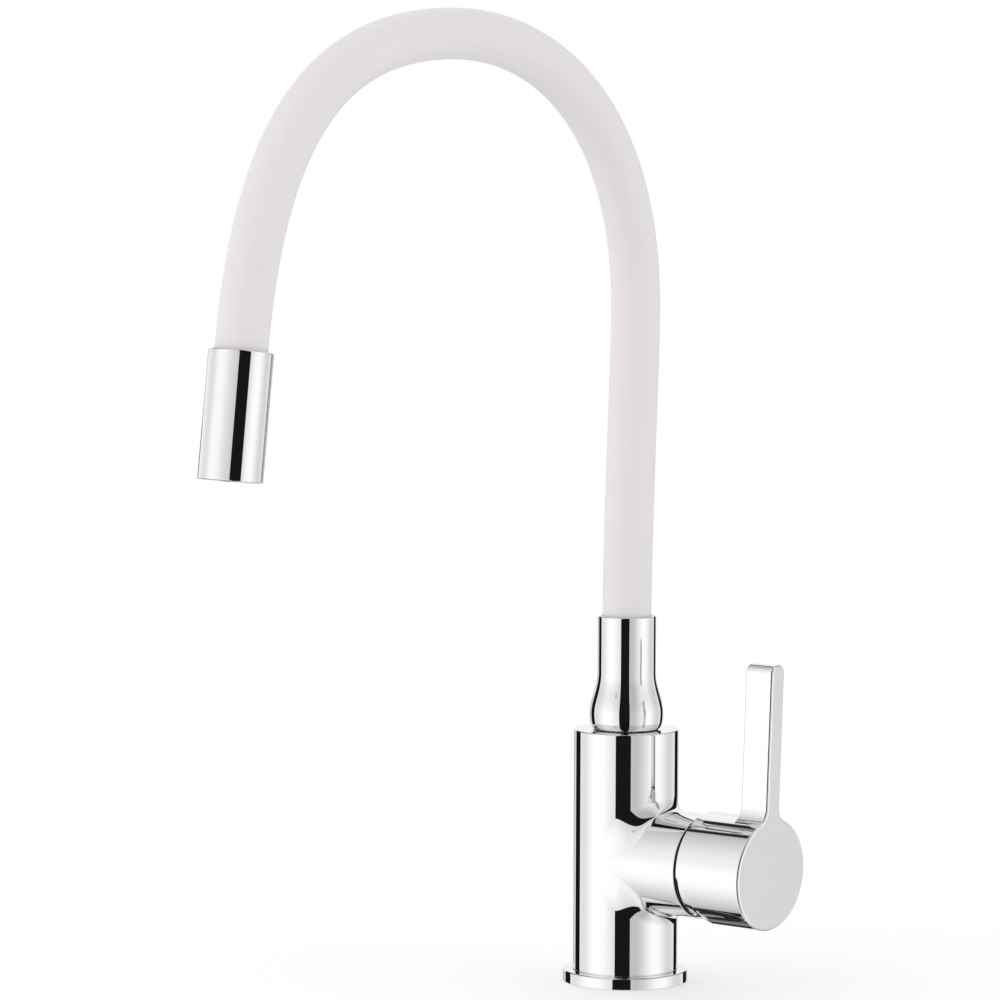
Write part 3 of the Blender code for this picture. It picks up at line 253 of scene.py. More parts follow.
gasket_outline = [
    (GASKET_INNER, GASKET_HEIGHT, 0.4 * MM),
    (GASKET_OUTER, GASKET_HEIGHT, 0.4 * MM),
    (GASKET_OUTER, 0.0, 0.4 * MM),
    (GASKET_INNER, 0.0, 0.4 * MM),
]
base_gasket = turned("soft_base_gasket", gasket_outline, ring=True)
dress(base_gasket, RUBBER, "black_rubber", "faucet_body", "base_gasket")

# Body
# A brass casting, ground and chromed: the upright column and the side arm run into each other in a
# fillet that is small on top and underneath and widens towards the sides. It holds the cartridge, the
# water ways and the seat of the swivelling neck.
QUARTER = math.pi / 2
PAST = 2.0 * MM
COLUMN_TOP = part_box("body")[1].z
COLUMN_EDGE = 0.6 * MM
BODY_FOOT = RING_HEIGHT - RING_RECESS + CLEARANCE
BODY_SPIGOT_RADIUS = 16.2 * MM
ARM_RADIUS = 20.8 * MM
ARM_AXIS_HEIGHT = 49.8 * MM
ARM_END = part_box("body")[1].x
ARM_EDGE = 0.3 * MM
ARM_MOUTH = 18.9 * MM
ARM_MOUTH_DEPTH = 3.6 * MM
CAVITY_RADIUS = 17.7 * MM
CAVITY_FLOOR = 10.0 * MM
CROWN_FILLET = 6.0 * MM
SIDE_FILLET = 34.0 * MM
FILLET_GROWTH = 5.4
FILLET_PULL = 0.12
FILLET_STEPS = 28
ARM_SIDES = 256
BACK_SIDES = 140
SPOUT_BORE = 10.9 * MM
SPOUT_BORE_FLOOR = 76.5 * MM
BUSH_BORE = 12.9 * MM
BUSH_DEPTH = 4.0 * MM
INLET_X = -6.0 * MM
INLET_Y = 8.0 * MM
INLET_RADIUS = 4.6 * MM
INLET_DEPTH = 15.0 * MM
INLET_BORE = 3.4 * MM
INLET_BORE_DEPTH = 42.0 * MM
STUD_X = 9.5 * MM
STUD_RADIUS = 3.9 * MM
STUD_IN_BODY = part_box("mounting_stud")[1].z
SCREW_RADIUS = 2.0 * MM
SCREW_HEIGHT = 88.0 * MM

along_arm = Matrix.Translation((0.0, 0.0, ARM_AXIS_HEIGHT)) @ Matrix.Rotation(QUARTER, 4, "Y")


def grow(bm, chain, places, closed=True):
    """A further row of vertices at the given places, joined to the last row by faces."""
    pairs = list(zip(chain, chain[1:])) + ([(chain[-1], chain[0])] if closed else [])
    edges = [bm.edges.get(pair) or bm.edges.new(pair) for pair in pairs]
    made = set(bmesh.ops.extrude_edge_only(bm, edges=edges)["geom"])
    row = [next(e.other_vert(v) for e in v.link_edges if e.other_vert(v) in made) for v in chain]
    for vert, place in zip(row, places):
        vert.co = place
    return row


def fillet_place(angle, share):
    """A point of the fillet at an angle round the arm, from the arm at share 0 to the column at share 1.
    A ball that rests in the corner gives its two ends, which run out smoothly, and it curves towards
    the corner between them."""
    ball = CROWN_FILLET + (SIDE_FILLET - CROWN_FILLET) * abs(math.sin(angle)) ** FILLET_GROWTH
    y = (ARM_RADIUS + ball) * math.sin(angle)
    z = (ARM_RADIUS + ball) * math.cos(angle)
    centre = Vector((math.sqrt((COLUMN_RADIUS + ball) ** 2 - y**2), y, ARM_AXIS_HEIGHT + z))
    to_arm = Vector((0.0, -math.sin(angle), -math.cos(angle)))
    to_column = Vector((-centre.x, -centre.y, 0.0)).normalized()
    corner = centre + (to_arm + to_column) * (ball / (1.0 + to_arm.dot(to_column)))
    on_arm = centre + to_arm * ball
    on_column = centre + to_column * ball
    arm_pull = on_arm.lerp(corner, FILLET_PULL)
    column_pull = on_column.lerp(corner, FILLET_PULL)
    rest = 1.0 - share
    ends = on_arm * rest**4 + on_column * share**4
    pulls = arm_pull * (rest**3 * share) + column_pull * (rest * share**3)
    return ends + pulls * 4 + corner * (6 * rest**2 * share**2)


def around_arm(x, radius, angle):
    """A point at a radius round the arm's axis."""
    return Vector((x, radius * math.sin(angle), ARM_AXIS_HEIGHT + radius * math.cos(angle)))


def level_edges(bm, height):
    """The edges that lie all in one level."""
    return [e for e in bm.edges if all(abs(v.co.z - height) < WELD for v in e.verts)]


def of_kind(geometry, kind):
    """The vertices, edges or faces among parts of a mesh."""
    return [part for part in geometry if isinstance(part, kind)]


def round_edges(bm, edges, size, steps=EDGE_STEPS):
    """Rounds edges off by one size all along, also where they are short."""
    bmesh.ops.bevel(
        bm,
        geom=edges,
        offset=size,
        offset_type="OFFSET",
        affect="EDGES",
        segments=steps,
        profile=0.5,
        material=-1,
        clamp_overlap=False,
    )


def body_form():
    """The body's closed skin: the end of the arm, its fillet, the column, and the spigot under it."""
    bm = bmesh.new()
    angles = [math.tau * i / ARM_SIDES for i in range(ARM_SIDES)]
    row = bmesh.ops.create_circle(bm, segments=ARM_SIDES, radius=ARM_RADIUS, cap_ends=True)["verts"]
    for vert, angle in zip(row, angles):
        vert.co = around_arm(ARM_END, ARM_RADIUS, angle)
    end_edges = [bm.edges.get(pair) for pair in zip(row, row[1:] + row[:1])]
    for step in range(FILLET_STEPS + 1):
        row = grow(bm, row, [fillet_place(angle, step / FILLET_STEPS) for angle in angles])
    left, right = ARM_SIDES // 4, 3 * ARM_SIDES // 4
    above = row[right:] + row[: left + 1]
    below = row[left : right + 1]
    top = grow(bm, above, [(v.co.x, v.co.y, COLUMN_TOP) for v in above], closed=False)
    foot = grow(bm, below, [(v.co.x, v.co.y, BODY_FOOT) for v in below], closed=False)
    seam = [foot[0], row[left], top[-1]]
    seam_edges = [bm.edges.get(pair) for pair in zip(seam, seam[1:])]
    start = math.atan2(row[left].co.y, row[left].co.x)
    bmesh.ops.spin(
        bm,
        geom=seam + seam_edges,
        axis=(0.0, 0.0, 1.0),
        cent=(0.0, 0.0, 0.0),
        angle=math.tau - 2 * start,
        steps=BACK_SIDES,
    )
    bmesh.ops.remove_doubles(bm, verts=bm.verts, dist=WELD)
    bmesh.ops.contextual_create(bm, geom=level_edges(bm, COLUMN_TOP))
    underside = bmesh.ops.contextual_create(bm, geom=level_edges(bm, BODY_FOOT))["faces"]
    bmesh.ops.recalc_face_normals(bm, faces=bm.faces)
    round_edges(bm, end_edges, ARM_EDGE)
    round_edges(bm, level_edges(bm, COLUMN_TOP), COLUMN_EDGE)
    border = COLUMN_RADIUS - BODY_SPIGOT_RADIUS
    bmesh.ops.inset_region(bm, faces=underside, thickness=border, use_even_offset=True)
    spigot = bmesh.ops.extrude_face_region(bm, geom=underside)["geom"]
    bmesh.ops.delete(bm, geom=underside, context="FACES_ONLY")
    bmesh.ops.translate(bm, verts=of_kind(spigot, bmesh.types.BMVert), vec=(0.0, 0.0, -BODY_FOOT))
    bmesh.ops.recalc_face_normals(bm, faces=bm.faces)
    return new_object("polished_body", bm)


def cut(obj, *tools, way="DIFFERENCE"):
    """Takes the tools' shapes out of a piece, and then removes the tools."""
    for tool in tools:
        step = obj.modifiers.new("cut", "BOOLEAN")
        step.operation = way
        step.solver = "EXACT"
        step.object = tool
    bpy.context.view_layer.update()
    mesh = bpy.data.meshes.new_from_object(obj.evaluated_get(bpy.context.evaluated_depsgraph_get()))
    obj.modifiers.clear()
    obj.data = mesh
    for tool in tools:
        bpy.data.objects.remove(tool)


def pin(name, radius, bottom, top, place=Matrix(), sides=ROUND_SIDES):
    """A plain round tool or pin."""
    corners = [(0.0, top, 0.0), (radius, top, 0.0), (radius, bottom, 0.0), (0.0, bottom, 0.0)]
    return turned(name, corners, place, sides=sides)


body = body_form()
cavity_outline = [
    (0.0, ARM_END + PAST, 0.0),
    (ARM_MOUTH, ARM_END + PAST, 0.0),
    (ARM_MOUTH, ARM_END - ARM_MOUTH_DEPTH, 0.0),
    (CAVITY_RADIUS, ARM_END - ARM_MOUTH_DEPTH, 0.0),
    (CAVITY_RADIUS, CAVITY_FLOOR, 0.0),
    (0.0, CAVITY_FLOOR, 0.0),
]
bore_outline = [
    (0.0, COLUMN_TOP + PAST, 0.0),
    (BUSH_BORE, COLUMN_TOP + PAST, 0.0),
    (BUSH_BORE, COLUMN_TOP - BUSH_DEPTH, 0.0),
    (SPOUT_BORE, COLUMN_TOP - BUSH_DEPTH, 0.0),
    (SPOUT_BORE, SPOUT_BORE_FLOOR, 0.0),
    (0.0, SPOUT_BORE_FLOOR, 0.0),
]
inlet_outline = [
    (0.0, INLET_BORE_DEPTH, 0.0),
    (INLET_BORE, INLET_BORE_DEPTH, 0.0),
    (INLET_BORE, INLET_DEPTH, 0.0),
    (INLET_RADIUS, INLET_DEPTH, 0.0),
    (INLET_RADIUS, -PAST, 0.0),
    (0.0, -PAST, 0.0),
]
at_stud = Matrix.Translation((STUD_X, 0.0, 0.0))
to_back = Matrix.Translation((0.0, 0.0, SCREW_HEIGHT)) @ Matrix.Rotation(-QUARTER, 4, "X")
cut(
    body,
    turned("cavity_tool", cavity_outline, along_arm),
    turned("bore_tool", bore_outline),
    turned("hot_tool", inlet_outline, Matrix.Translation((INLET_X, INLET_Y, 0.0)), sides=64),
    turned("cold_tool", inlet_outline, Matrix.Translation((INLET_X, -INLET_Y, 0.0)), sides=64),
    pin("stud_tool", STUD_RADIUS + CLEARANCE, -PAST, STUD_IN_BODY + CLEARANCE, at_stud, 64),
    pin("screw_tool", SCREW_RADIUS + CLEARANCE, 0.0, COLUMN_RADIUS + PAST, to_back, 64),
)
dress(body, CHROME, "chrome", "faucet_body", "body")

# Spout retaining screw
# A small steel set screw in the back of the column. It has a hexagon socket, and its tip runs in
# the groove of the neck's spigot, which lets the spout turn and keeps it from lifting out.
SCREW_START = 9.2 * MM
SCREW_SUNK = 0.7 * MM
SCREW_CHAMFER = 0.3 * MM
HEXAGON_RADIUS = 1.2 * MM
HEXAGON_DEPTH = 2.0 * MM

STEEL, steel_shader = finish(
    "brushed_steel",
    (0.52, 0.52, 0.53, 1.0),
    (0.44, 0.44, 0.45, 1.0),
    220.0,
    3500.0,
    (0.22, 0.36),
    (0.15, 0.03 * MM),
)
steel_shader.inputs["Metallic"].default_value = 1.0

screw_end = COLUMN_RADIUS - SCREW_SUNK
screw = turned(
    "socket_set_screw",
    [
        (0.0, screw_end, 0.0),
        (SCREW_RADIUS, screw_end, SCREW_CHAMFER),
        (SCREW_RADIUS, SCREW_START, SCREW_CHAMFER),
        (0.0, SCREW_START, 0.0),
    ],
    to_back,
    sides=64,
)
cut(screw, pin("hexagon_tool", HEXAGON_RADIUS, screw_end - HEXAGON_DEPTH, screw_end + PAST, to_back, 6))
dress(screw, STEEL, "steel", "faucet_body", "spout_retaining_screw")

# Trim dome
# A thin chromed ring of a sphere over the cartridge's nut. It is centred on the handle's pivot, so
# that the cap stays just clear of it as the handle is lifted. The band at its foot is painted
# near-black: painted shade that darkens the gap between the arm's end and the cap.
PIVOT_X = 40.5 * MM
CAP_RADIUS = 22.2 * MM
CAP_WALL = 1.6 * MM
CAP_BORE = CAP_RADIUS - CAP_WALL
DOME_GAP = 0.4 * MM
DOME_RADIUS = CAP_BORE - DOME_GAP
DOME_WALL = 1.6 * MM
DOME_HOLE_RADIUS = 14.0 * MM
DOME_STEPS = 40
DOME_FOOT = 0.4 * MM
SKIRT_INNER = 15.8 * MM
SKIRT_WALL = 1.4 * MM
SKIRT_HEIGHT = 1.5 * MM
BAND_END = PIVOT_X + 0.9 * MM
BAND_DEPTH = 0.6 * MM
BAND_SUNK = 0.05 * MM


def arc(centre, radius, start, end, steps):
    """Points on a circle's arc, both ends included."""
    return [
        (
            centre[0] + radius * math.cos(start + (end - start) * i / steps),
            centre[1] + radius * math.sin(start + (end - start) * i / steps),
        )
        for i in range(steps + 1)
    ]


dome_inner = DOME_RADIUS - DOME_WALL
band_angle = math.asin((BAND_END - PIVOT_X) / DOME_RADIUS)
outer_hole = math.acos(DOME_HOLE_RADIUS / DOME_RADIUS)
inner_hole = math.acos(DOME_HOLE_RADIUS / dome_inner)
skirt_angle = math.acos(SKIRT_INNER / dome_inner)
outer_arc = arc((0.0, PIVOT_X), DOME_RADIUS, outer_hole, band_angle, DOME_STEPS)
inner_arc = arc((0.0, PIVOT_X), dome_inner, skirt_angle, inner_hole, DOME_STEPS // 2)
dome_seat = PIVOT_X - DOME_FOOT
dome_outline = outer_arc + [
    (DOME_RADIUS - BAND_DEPTH, BAND_END),
    (DOME_RADIUS - BAND_DEPTH, dome_seat),
    (SKIRT_INNER + SKIRT_WALL, dome_seat),
    (SKIRT_INNER + SKIRT_WALL, dome_seat - SKIRT_HEIGHT),
    (SKIRT_INNER, dome_seat - SKIRT_HEIGHT),
] + inner_arc
dome = turned("polished_dome", [(r, x, 0.0) for r, x in dome_outline], along_arm, ring=True)
dress(dome, CHROME, "chrome", "faucet_body", "trim_dome")

# Painted shade: a near-black matt finish for the band at the dome's foot, darkening the gap under the cap
SHADE_PAINT, shade_paint_shader = finish(
    "painted_shade",
    (0.012, 0.012, 0.012, 1.0),
    (0.02, 0.02, 0.02, 1.0),
    180.0,
    3000.0,
    (0.55, 0.7),
    (0.2, 0.02 * MM),
)
shade_paint_shader.inputs["Specular IOR Level"].default_value = 0.1
# The band in the gap between the arm's end and the cap, painted near-black as shade
band = turned(
    "painted_shade_dome_band",
    [
        (DOME_RADIUS - BAND_SUNK, BAND_END - BAND_SUNK, 0.0),
        (DOME_RADIUS - BAND_SUNK, ARM_END + BAND_SUNK, 0.0),
        (DOME_RADIUS - BAND_DEPTH + BAND_SUNK, ARM_END + BAND_SUNK, 0.0),
        (DOME_RADIUS - BAND_DEPTH + BAND_SUNK, BAND_END - BAND_SUNK, 0.0),
    ],
    along_arm,
    ring=True,
)
dress(band, SHADE_PAINT, "chrome", "faucet_body", "trim_dome")

# Handle
# One chromed casting: a round cap over the arm's end, and an upright lever whose face lies in one
# plane with the cap's disc and leans outwards. The cap is cut back aslant below, so that it can tilt.
CAP_FRONT = 72.5 * MM
FACE_LEAN = math.tan(math.radians(2.0))
FACE_EDGE = 1.15 * MM
FACE_EDGE_STEPS = 8
CAP_RIM = PIVOT_X + 1.5 * MM
CAP_RIM_EDGE = 0.15 * MM
CAP_FLOOR_GAP = 1.1 * MM
CAP_FLOOR = PIVOT_X + DOME_RADIUS + CAP_FLOOR_GAP
BOSS_RADIUS = 6.8 * MM
BOSS_HEIGHT = 9.8 * MM
RELIEF_ANGLE = math.radians(22.8)
RELIEF_START = 3.0 * MM
LEVER_TIP = 83.4 * MM
LEVER_WIDTH = 8.4 * MM
LEVER_DEPTH = 12.9 * MM
LEVER_ROOT = 7.0 * MM
LEVER_TIP_ROUND = 3.4 * MM
LEVER_BACK_EDGE = 0.6 * MM
LEVER_BACK_START = 23.0 * MM
RIM_STEPS = 232
ROOT_STEPS = 24
TIP_STEPS = 16
STEM_SIDE = 6.4 * MM
STEM_COVER = 2.1 * MM
GRUB_RADIUS = 2.3 * MM
PLUG_RADIUS = 3.1 * MM
PLUG_HEAD = 1.4 * MM
PLUG_SUNK = 0.5 * MM
GRUB_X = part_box("screw_plug")[0].x + PLUG_RADIUS


def handle_form():
    """The handle's closed skin, from its face and lever through the cap's wall to the boss inside."""
    bm = bmesh.new()
    half = LEVER_WIDTH / 2
    side = half + LEVER_ROOT
    up = math.sqrt((CAP_RADIUS + LEVER_ROOT) ** 2 - side**2)
    foot = math.atan2(up, side)
    tip_y = half - LEVER_TIP_ROUND
    tip_z = LEVER_TIP - LEVER_TIP_ROUND
    rim = arc((0.0, 0.0), CAP_RADIUS, foot, -math.pi - foot, RIM_STEPS)
    lever = arc((-side, up), LEVER_ROOT, -foot, 0.0, ROOT_STEPS)[1:]
    lever += arc((-tip_y, tip_z), LEVER_TIP_ROUND, math.pi, QUARTER, TIP_STEPS)
    lever += arc((tip_y, tip_z), LEVER_TIP_ROUND, QUARTER, 0.0, TIP_STEPS)
    lever += arc((side, up), LEVER_ROOT, math.pi, math.pi + foot, ROOT_STEPS)[:-1]
    crown = arc((0.0, 0.0), CAP_RADIUS, math.pi - foot, foot, ROOT_STEPS)[1:-1]

    front = [bm.verts.new((CAP_FRONT, y, z)) for y, z in rim + lever]
    lever_back = CAP_FRONT - LEVER_DEPTH
    back = grow(bm, front, [(lever_back, y, z) for y, z in rim + lever])
    bm.faces.new(front)
    front_edges = [bm.edges.get(pair) for pair in zip(front, front[1:] + front[:1])]
    over = [bm.verts.new((lever_back, y, z)) for y, z in crown]
    bm.faces.new(back[RIM_STEPS:] + [back[0]] + over[::-1])
    back_edges = [
        bm.edges.get(pair)
        for pair in zip(back[RIM_STEPS:], back[RIM_STEPS + 1 :])
        if min(vert.co.z for vert in pair) > LEVER_BACK_START
    ]
    ring = back[: RIM_STEPS + 1] + over
    circle = rim + crown
    row = grow(bm, ring, [(CAP_RIM, y, z) for y, z in circle])
    rim_edges = [bm.edges.get(pair) for pair in zip(row, row[1:] + row[:1])]
    for x, radius in (
        (CAP_RIM, CAP_BORE),
        (CAP_FLOOR, CAP_BORE),
        (CAP_FLOOR, BOSS_RADIUS),
        (CAP_FLOOR - BOSS_HEIGHT, BOSS_RADIUS),
    ):
        row = grow(bm, row, [(x, y * radius / CAP_RADIUS, z * radius / CAP_RADIUS) for y, z in circle])
    bm.faces.new(row)
    bmesh.ops.recalc_face_normals(bm, faces=bm.faces)
    round_edges(bm, front_edges, FACE_EDGE, FACE_EDGE_STEPS)
    round_edges(bm, back_edges, LEVER_BACK_EDGE)
    round_edges(bm, rim_edges, CAP_RIM_EDGE, 3)
    for vert in bm.verts:
        if vert.co.x > lever_back - WELD:
            vert.co.x += vert.co.z * FACE_LEAN

    # The cap is cut back aslant under its axis
    plane = Vector((math.cos(RELIEF_ANGLE), 0.0, math.sin(RELIEF_ANGLE)))
    made = bmesh.ops.bisect_plane(
        bm,
        geom=bm.verts[:] + bm.edges[:] + bm.faces[:],
        plane_co=(PIVOT_X, 0.0, RELIEF_START),
        plane_no=plane,
        clear_inner=True,
        dist=WELD / 10,
    )["geom_cut"]
    bmesh.ops.triangle_fill(bm, edges=of_kind(made, bmesh.types.BMEdge), use_beauty=True)
    bmesh.ops.recalc_face_normals(bm, faces=bm.faces)
    bmesh.ops.translate(bm, verts=bm.verts, vec=(0.0, 0.0, ARM_AXIS_HEIGHT))
    return new_object("polished_handle", bm)


handle = handle_form()
under_cap = Matrix.Translation((GRUB_X, 0.0, ARM_AXIS_HEIGHT))
around_stem = along_arm @ Matrix.Rotation(QUARTER / 2, 4, "Z")
stem_corner = STEM_SIDE / 2 * math.sqrt(2.0)
plug_seat = PLUG_SUNK + PLUG_HEAD + CLEARANCE - CAP_RADIUS
cut(
    handle,
    pin("stem_tool", stem_corner, PIVOT_X, CAP_FRONT - STEM_COVER, around_stem, 4),
    pin("grub_tool", GRUB_RADIUS + CLEARANCE, -CAP_RADIUS - PAST, 0.0, under_cap, 64),
    pin("plug_tool", PLUG_RADIUS + CLEARANCE, -CAP_RADIUS - PAST, plug_seat, under_cap, 64),
)
dress(handle, CHROME, "chrome", "handle_lever", "handle")

# Screw plug
# A grey plastic plug under the cap. It hides the grub screw that clamps the handle on its stem, and
# its stalk is pressed into the screw's hole.
PLUG_STALK_RADIUS = 2.2 * MM
PLUG_STALK = 4.0 * MM

GREY_PLASTIC, grey_shader = finish(
    "grey_plastic",
    (0.21, 0.21, 0.215, 1.0),
    (0.17, 0.17, 0.175, 1.0),
    90.0,
    3000.0,
    (0.34, 0.48),
    (0.2, 0.02 * MM),
)
grey_shader.inputs["Specular IOR Level"].default_value = 0.45

plug_bottom = PLUG_SUNK - CAP_RADIUS
plug = turned(
    "moulded_screw_plug",
    [
        (0.0, plug_bottom + PLUG_HEAD + PLUG_STALK, 0.0),
        (PLUG_STALK_RADIUS, plug_bottom + PLUG_HEAD + PLUG_STALK, 0.3 * MM),
        (PLUG_STALK_RADIUS, plug_bottom + PLUG_HEAD, 0.0),
        (PLUG_RADIUS, plug_bottom + PLUG_HEAD, 0.2 * MM),
        (PLUG_RADIUS, plug_bottom, 0.4 * MM),
        (0.0, plug_bottom, 0.0),
    ],
    under_cap,
    sides=64,
)
dress(plug, GREY_PLASTIC, "grey_plastic", "handle_lever", "screw_plug")

# Neck
# A turned and chromed collar that swivels on the column. Its barrel swells smoothly into a bulb at
# the foot, its hidden spigot carries the seals, and the hose stands in the socket at its top.
NECK_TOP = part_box("neck")[1].z
NECK_BOTTOM = COLUMN_TOP + CLEARANCE
NECK_FOOT_RADIUS = 13.4 * MM
NECK_BULB_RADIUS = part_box("neck")[1].x
NECK_BARREL_RADIUS = 11.7 * MM
NECK_BULB_HEIGHT = 5.8 * MM
NECK_FLARE_HEIGHT = 22.3 * MM
NECK_EDGE = 0.4 * MM
NECK_STEPS = 48
HOSE_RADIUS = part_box("hose_sleeve")[1].x
HOSE_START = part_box("hose_sleeve")[0].z
SOCKET_RADIUS = HOSE_RADIUS + CLEARANCE
SPIGOT_RADIUS = 10.5 * MM
SPIGOT_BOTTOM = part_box("neck")[0].z
SHANK_BORE = 7.6 * MM
NECK_SHOULDER = HOSE_START - 2.6 * MM
GROOVES = ((7.7 * MM, 2.4 * MM, 9.0 * MM), (14.2 * MM, 4.8 * MM, 8.9 * MM), (20.7 * MM, 2.4 * MM, 9.0 * MM))

neck_outline = [(NECK_BARREL_RADIUS, NECK_TOP, NECK_EDGE)]
for i in range(NECK_STEPS + 1):
    share = i / NECK_STEPS
    swell = (1.0 - math.cos(math.pi * share)) / 2
    neck_radius = NECK_BARREL_RADIUS + (NECK_BULB_RADIUS - NECK_BARREL_RADIUS) * swell
    neck_height = NECK_FLARE_HEIGHT + (NECK_BULB_HEIGHT - NECK_FLARE_HEIGHT) * share
    neck_outline.append((neck_radius, NECK_BOTTOM + neck_height, 0.0))
for i in range(1, NECK_STEPS // 2 + 1):
    turn = QUARTER * i / (NECK_STEPS // 2)
    neck_radius = NECK_FOOT_RADIUS + (NECK_BULB_RADIUS - NECK_FOOT_RADIUS) * math.cos(turn)
    neck_outline.append((neck_radius, NECK_BOTTOM + NECK_BULB_HEIGHT * (1.0 - math.sin(turn)), 0.0))
neck_outline.append((SPIGOT_RADIUS, NECK_BOTTOM, 0.0))
for depth, width, radius in GROOVES:
    groove_top = NECK_BOTTOM - depth + width / 2
    neck_outline += [
        (SPIGOT_RADIUS, groove_top, 0.0),
        (radius, groove_top, 0.0),
        (radius, groove_top - width, 0.0),
        (SPIGOT_RADIUS, groove_top - width, 0.0),
    ]
neck_outline += [
    (SPIGOT_RADIUS, SPIGOT_BOTTOM, 0.2 * MM),
    (SHANK_BORE, SPIGOT_BOTTOM, 0.0),
    (SHANK_BORE, NECK_SHOULDER, 0.0),
    (SOCKET_RADIUS, NECK_SHOULDER, 0.0),
    (SOCKET_RADIUS, NECK_TOP, 0.15 * MM),
]
neck = turned("polished_neck", neck_outline, ring=True)
dress(neck, CHROME, "chrome", "spout_neck", "neck")

# Hose
# White silicone sleeve over a bendable steel core and an inner water tube. Each is one length from
# the neck to the outlet; it is modelled in two that meet half-way, because each bends at one joint.
BOW = Vector((0.0, 4.5 * MM, 270.5 * MM))
ARCH = Vector((0.0, -109.0 * MM, 379.0 * MM))
OUTLET = Vector((0.0, -230.2 * MM, 263.2 * MM))
OUTLET_TILT = math.radians(7.35)
HOSE_IN_OUTLET = 16.0 * MM
NECK_PULL = 35.5 * MM
BOW_LOWER_PULL = 22.0 * MM
BOW_UPPER_PULL = 71.5 * MM
ARCH_NEAR_PULL = 61.5 * MM
ARCH_FAR_PULL = 81.5 * MM
OUTLET_PULL = 72.0 * MM
SLEEVE_WALL = 2.5 * MM
CORE_RADIUS = 7.0 * MM
CORE_WALL = 1.4 * MM
TUBE_RADIUS = 5.3 * MM
TUBE_WALL = 1.1 * MM
HOSE_STEPS = 56

SILICONE, silicone_shader = finish(
    "white_silicone",
    (0.735, 0.706, 0.713, 1.0),
    (0.712, 0.683, 0.69, 1.0),
    35.0,
    2600.0,
    (0.48, 0.6),
    (0.12, 0.04 * MM),
)
silicone_shader.inputs["Specular IOR Level"].default_value = 0.35
TUBE_PLASTIC, tube_shader = finish(
    "tube_plastic",
    (0.62, 0.64, 0.66, 1.0),
    (0.56, 0.58, 0.6, 1.0),
    60.0,
    2000.0,
    (0.3, 0.42),
    (0.1, 0.02 * MM),
)
tube_shader.inputs["Specular IOR Level"].default_value = 0.5

up = Vector((0.0, 0.0, 1.0))
out = Vector((0.0, -1.0, 0.0))
down = Vector((0.0, -math.sin(OUTLET_TILT), -math.cos(OUTLET_TILT)))
neck_mouth = Vector((0.0, 0.0, NECK_TOP))
hose_start = Vector((0.0, 0.0, HOSE_START))
hose_end = OUTLET + down * HOSE_IN_OUTLET
straight_start = (neck_mouth - hose_start) / 3
straight_end = (hose_end - OUTLET) / 3
# Each knot of the route has its place and its two pulls, back and on
LOWER_ROUTE = (
    (hose_start, straight_start, straight_start),
    (neck_mouth, straight_start, up * NECK_PULL),
    (BOW, up * BOW_LOWER_PULL, up * BOW_UPPER_PULL),
)
UPPER_ROUTE = (
    (BOW, up * BOW_LOWER_PULL, up * BOW_UPPER_PULL),
    (ARCH, out * ARCH_NEAR_PULL, out * ARCH_FAR_PULL),
    (OUTLET, down * OUTLET_PULL, straight_end),
    (hose_end, straight_end, straight_end),
)


def hose_length(name, route, radius, wall, sides):
    """A length of hose along a route, with its wall inside."""
    curve = bpy.data.curves.new(name, "CURVE")
    curve.dimensions = "3D"
    curve.resolution_u = HOSE_STEPS
    curve.bevel_depth = radius
    curve.bevel_resolution = sides // 2 - 2
    spline = curve.splines.new("BEZIER")
    spline.bezier_points.add(len(route) - 1)
    for point, (place, back, on) in zip(spline.bezier_points, route):
        point.co = place
        point.handle_left = place - back
        point.handle_right = place + on
    line = bpy.data.objects.new(name + "_line", curve)
    bpy.context.scene.collection.objects.link(line)
    walls = line.modifiers.new("wall", "SOLIDIFY")
    walls.thickness = wall
    walls.offset = -1.0
    bpy.context.view_layer.update()
    mesh = bpy.data.meshes.new_from_object(line.evaluated_get(bpy.context.evaluated_depsgraph_get()))
    bpy.data.objects.remove(line)
    bm = bmesh.new()
    bm.from_mesh(mesh)
    bmesh.ops.remove_doubles(bm, verts=bm.verts, dist=WELD)
    bmesh.ops.recalc_face_normals(bm, faces=bm.faces)
    return new_object(name, bm)


HOSE_LAYERS = (
    ("silicone_sleeve", "hose_sleeve", HOSE_RADIUS, SLEEVE_WALL, 96, SILICONE, "white_silicone"),
    ("bendable_core", "flex_core", CORE_RADIUS, CORE_WALL, 48, STEEL, "steel"),
    ("inner_water_tube", "water_tube", TUBE_RADIUS, TUBE_WALL, 32, TUBE_PLASTIC, "tube_plastic"),
)
for name, node, radius, wall, sides, material, slot in HOSE_LAYERS:
    lower = hose_length(name + "_lower", LOWER_ROUTE, radius, wall, sides)
    upper = hose_length(name + "_upper", UPPER_ROUTE, radius, wall, sides)
    for piece in (lower, upper):
        piece.data.materials.clear()
        piece.data.materials.append(material)
        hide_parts(node)
    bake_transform(lower)
    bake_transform(upper)

# Outlet
# A chromed cylinder on the end of the hose. The hose stands in its top, and its mouth holds the
# aerator: a chromed housing with a lip, and a white plastic insert with round jets.
OUTLET_RADIUS = 12.0 * MM
OUTLET_LENGTH = 47.7 * MM
OUTLET_EDGE = 0.5 * MM
CHAMBER_RADIUS = 10.6 * MM
CHAMBER_LENGTH = 17.7 * MM
OUTLET_SHOULDER = -18.6 * MM
AERATOR_RADIUS = 10.3 * MM
AERATOR_WALL = 1.4 * MM
AERATOR_LIP = 1.3 * MM
AERATOR_LIP_HEIGHT = 1.6 * MM
AERATOR_SUNK = 0.5 * MM
WASHER_SPACE = 2.6 * MM
INSERT_SUNK = 1.4 * MM
JET_RADIUS = 1.6 * MM
JET_CIRCLE = 5.2 * MM
JETS = 6

WHITE_PLASTIC, white_shader = finish(
    "white_plastic",
    (0.78, 0.78, 0.77, 1.0),
    (0.72, 0.72, 0.71, 1.0),
    80.0,
    2500.0,
    (0.28, 0.4),
    (0.12, 0.02 * MM),
)
white_shader.inputs["Specular IOR Level"].default_value = 0.5

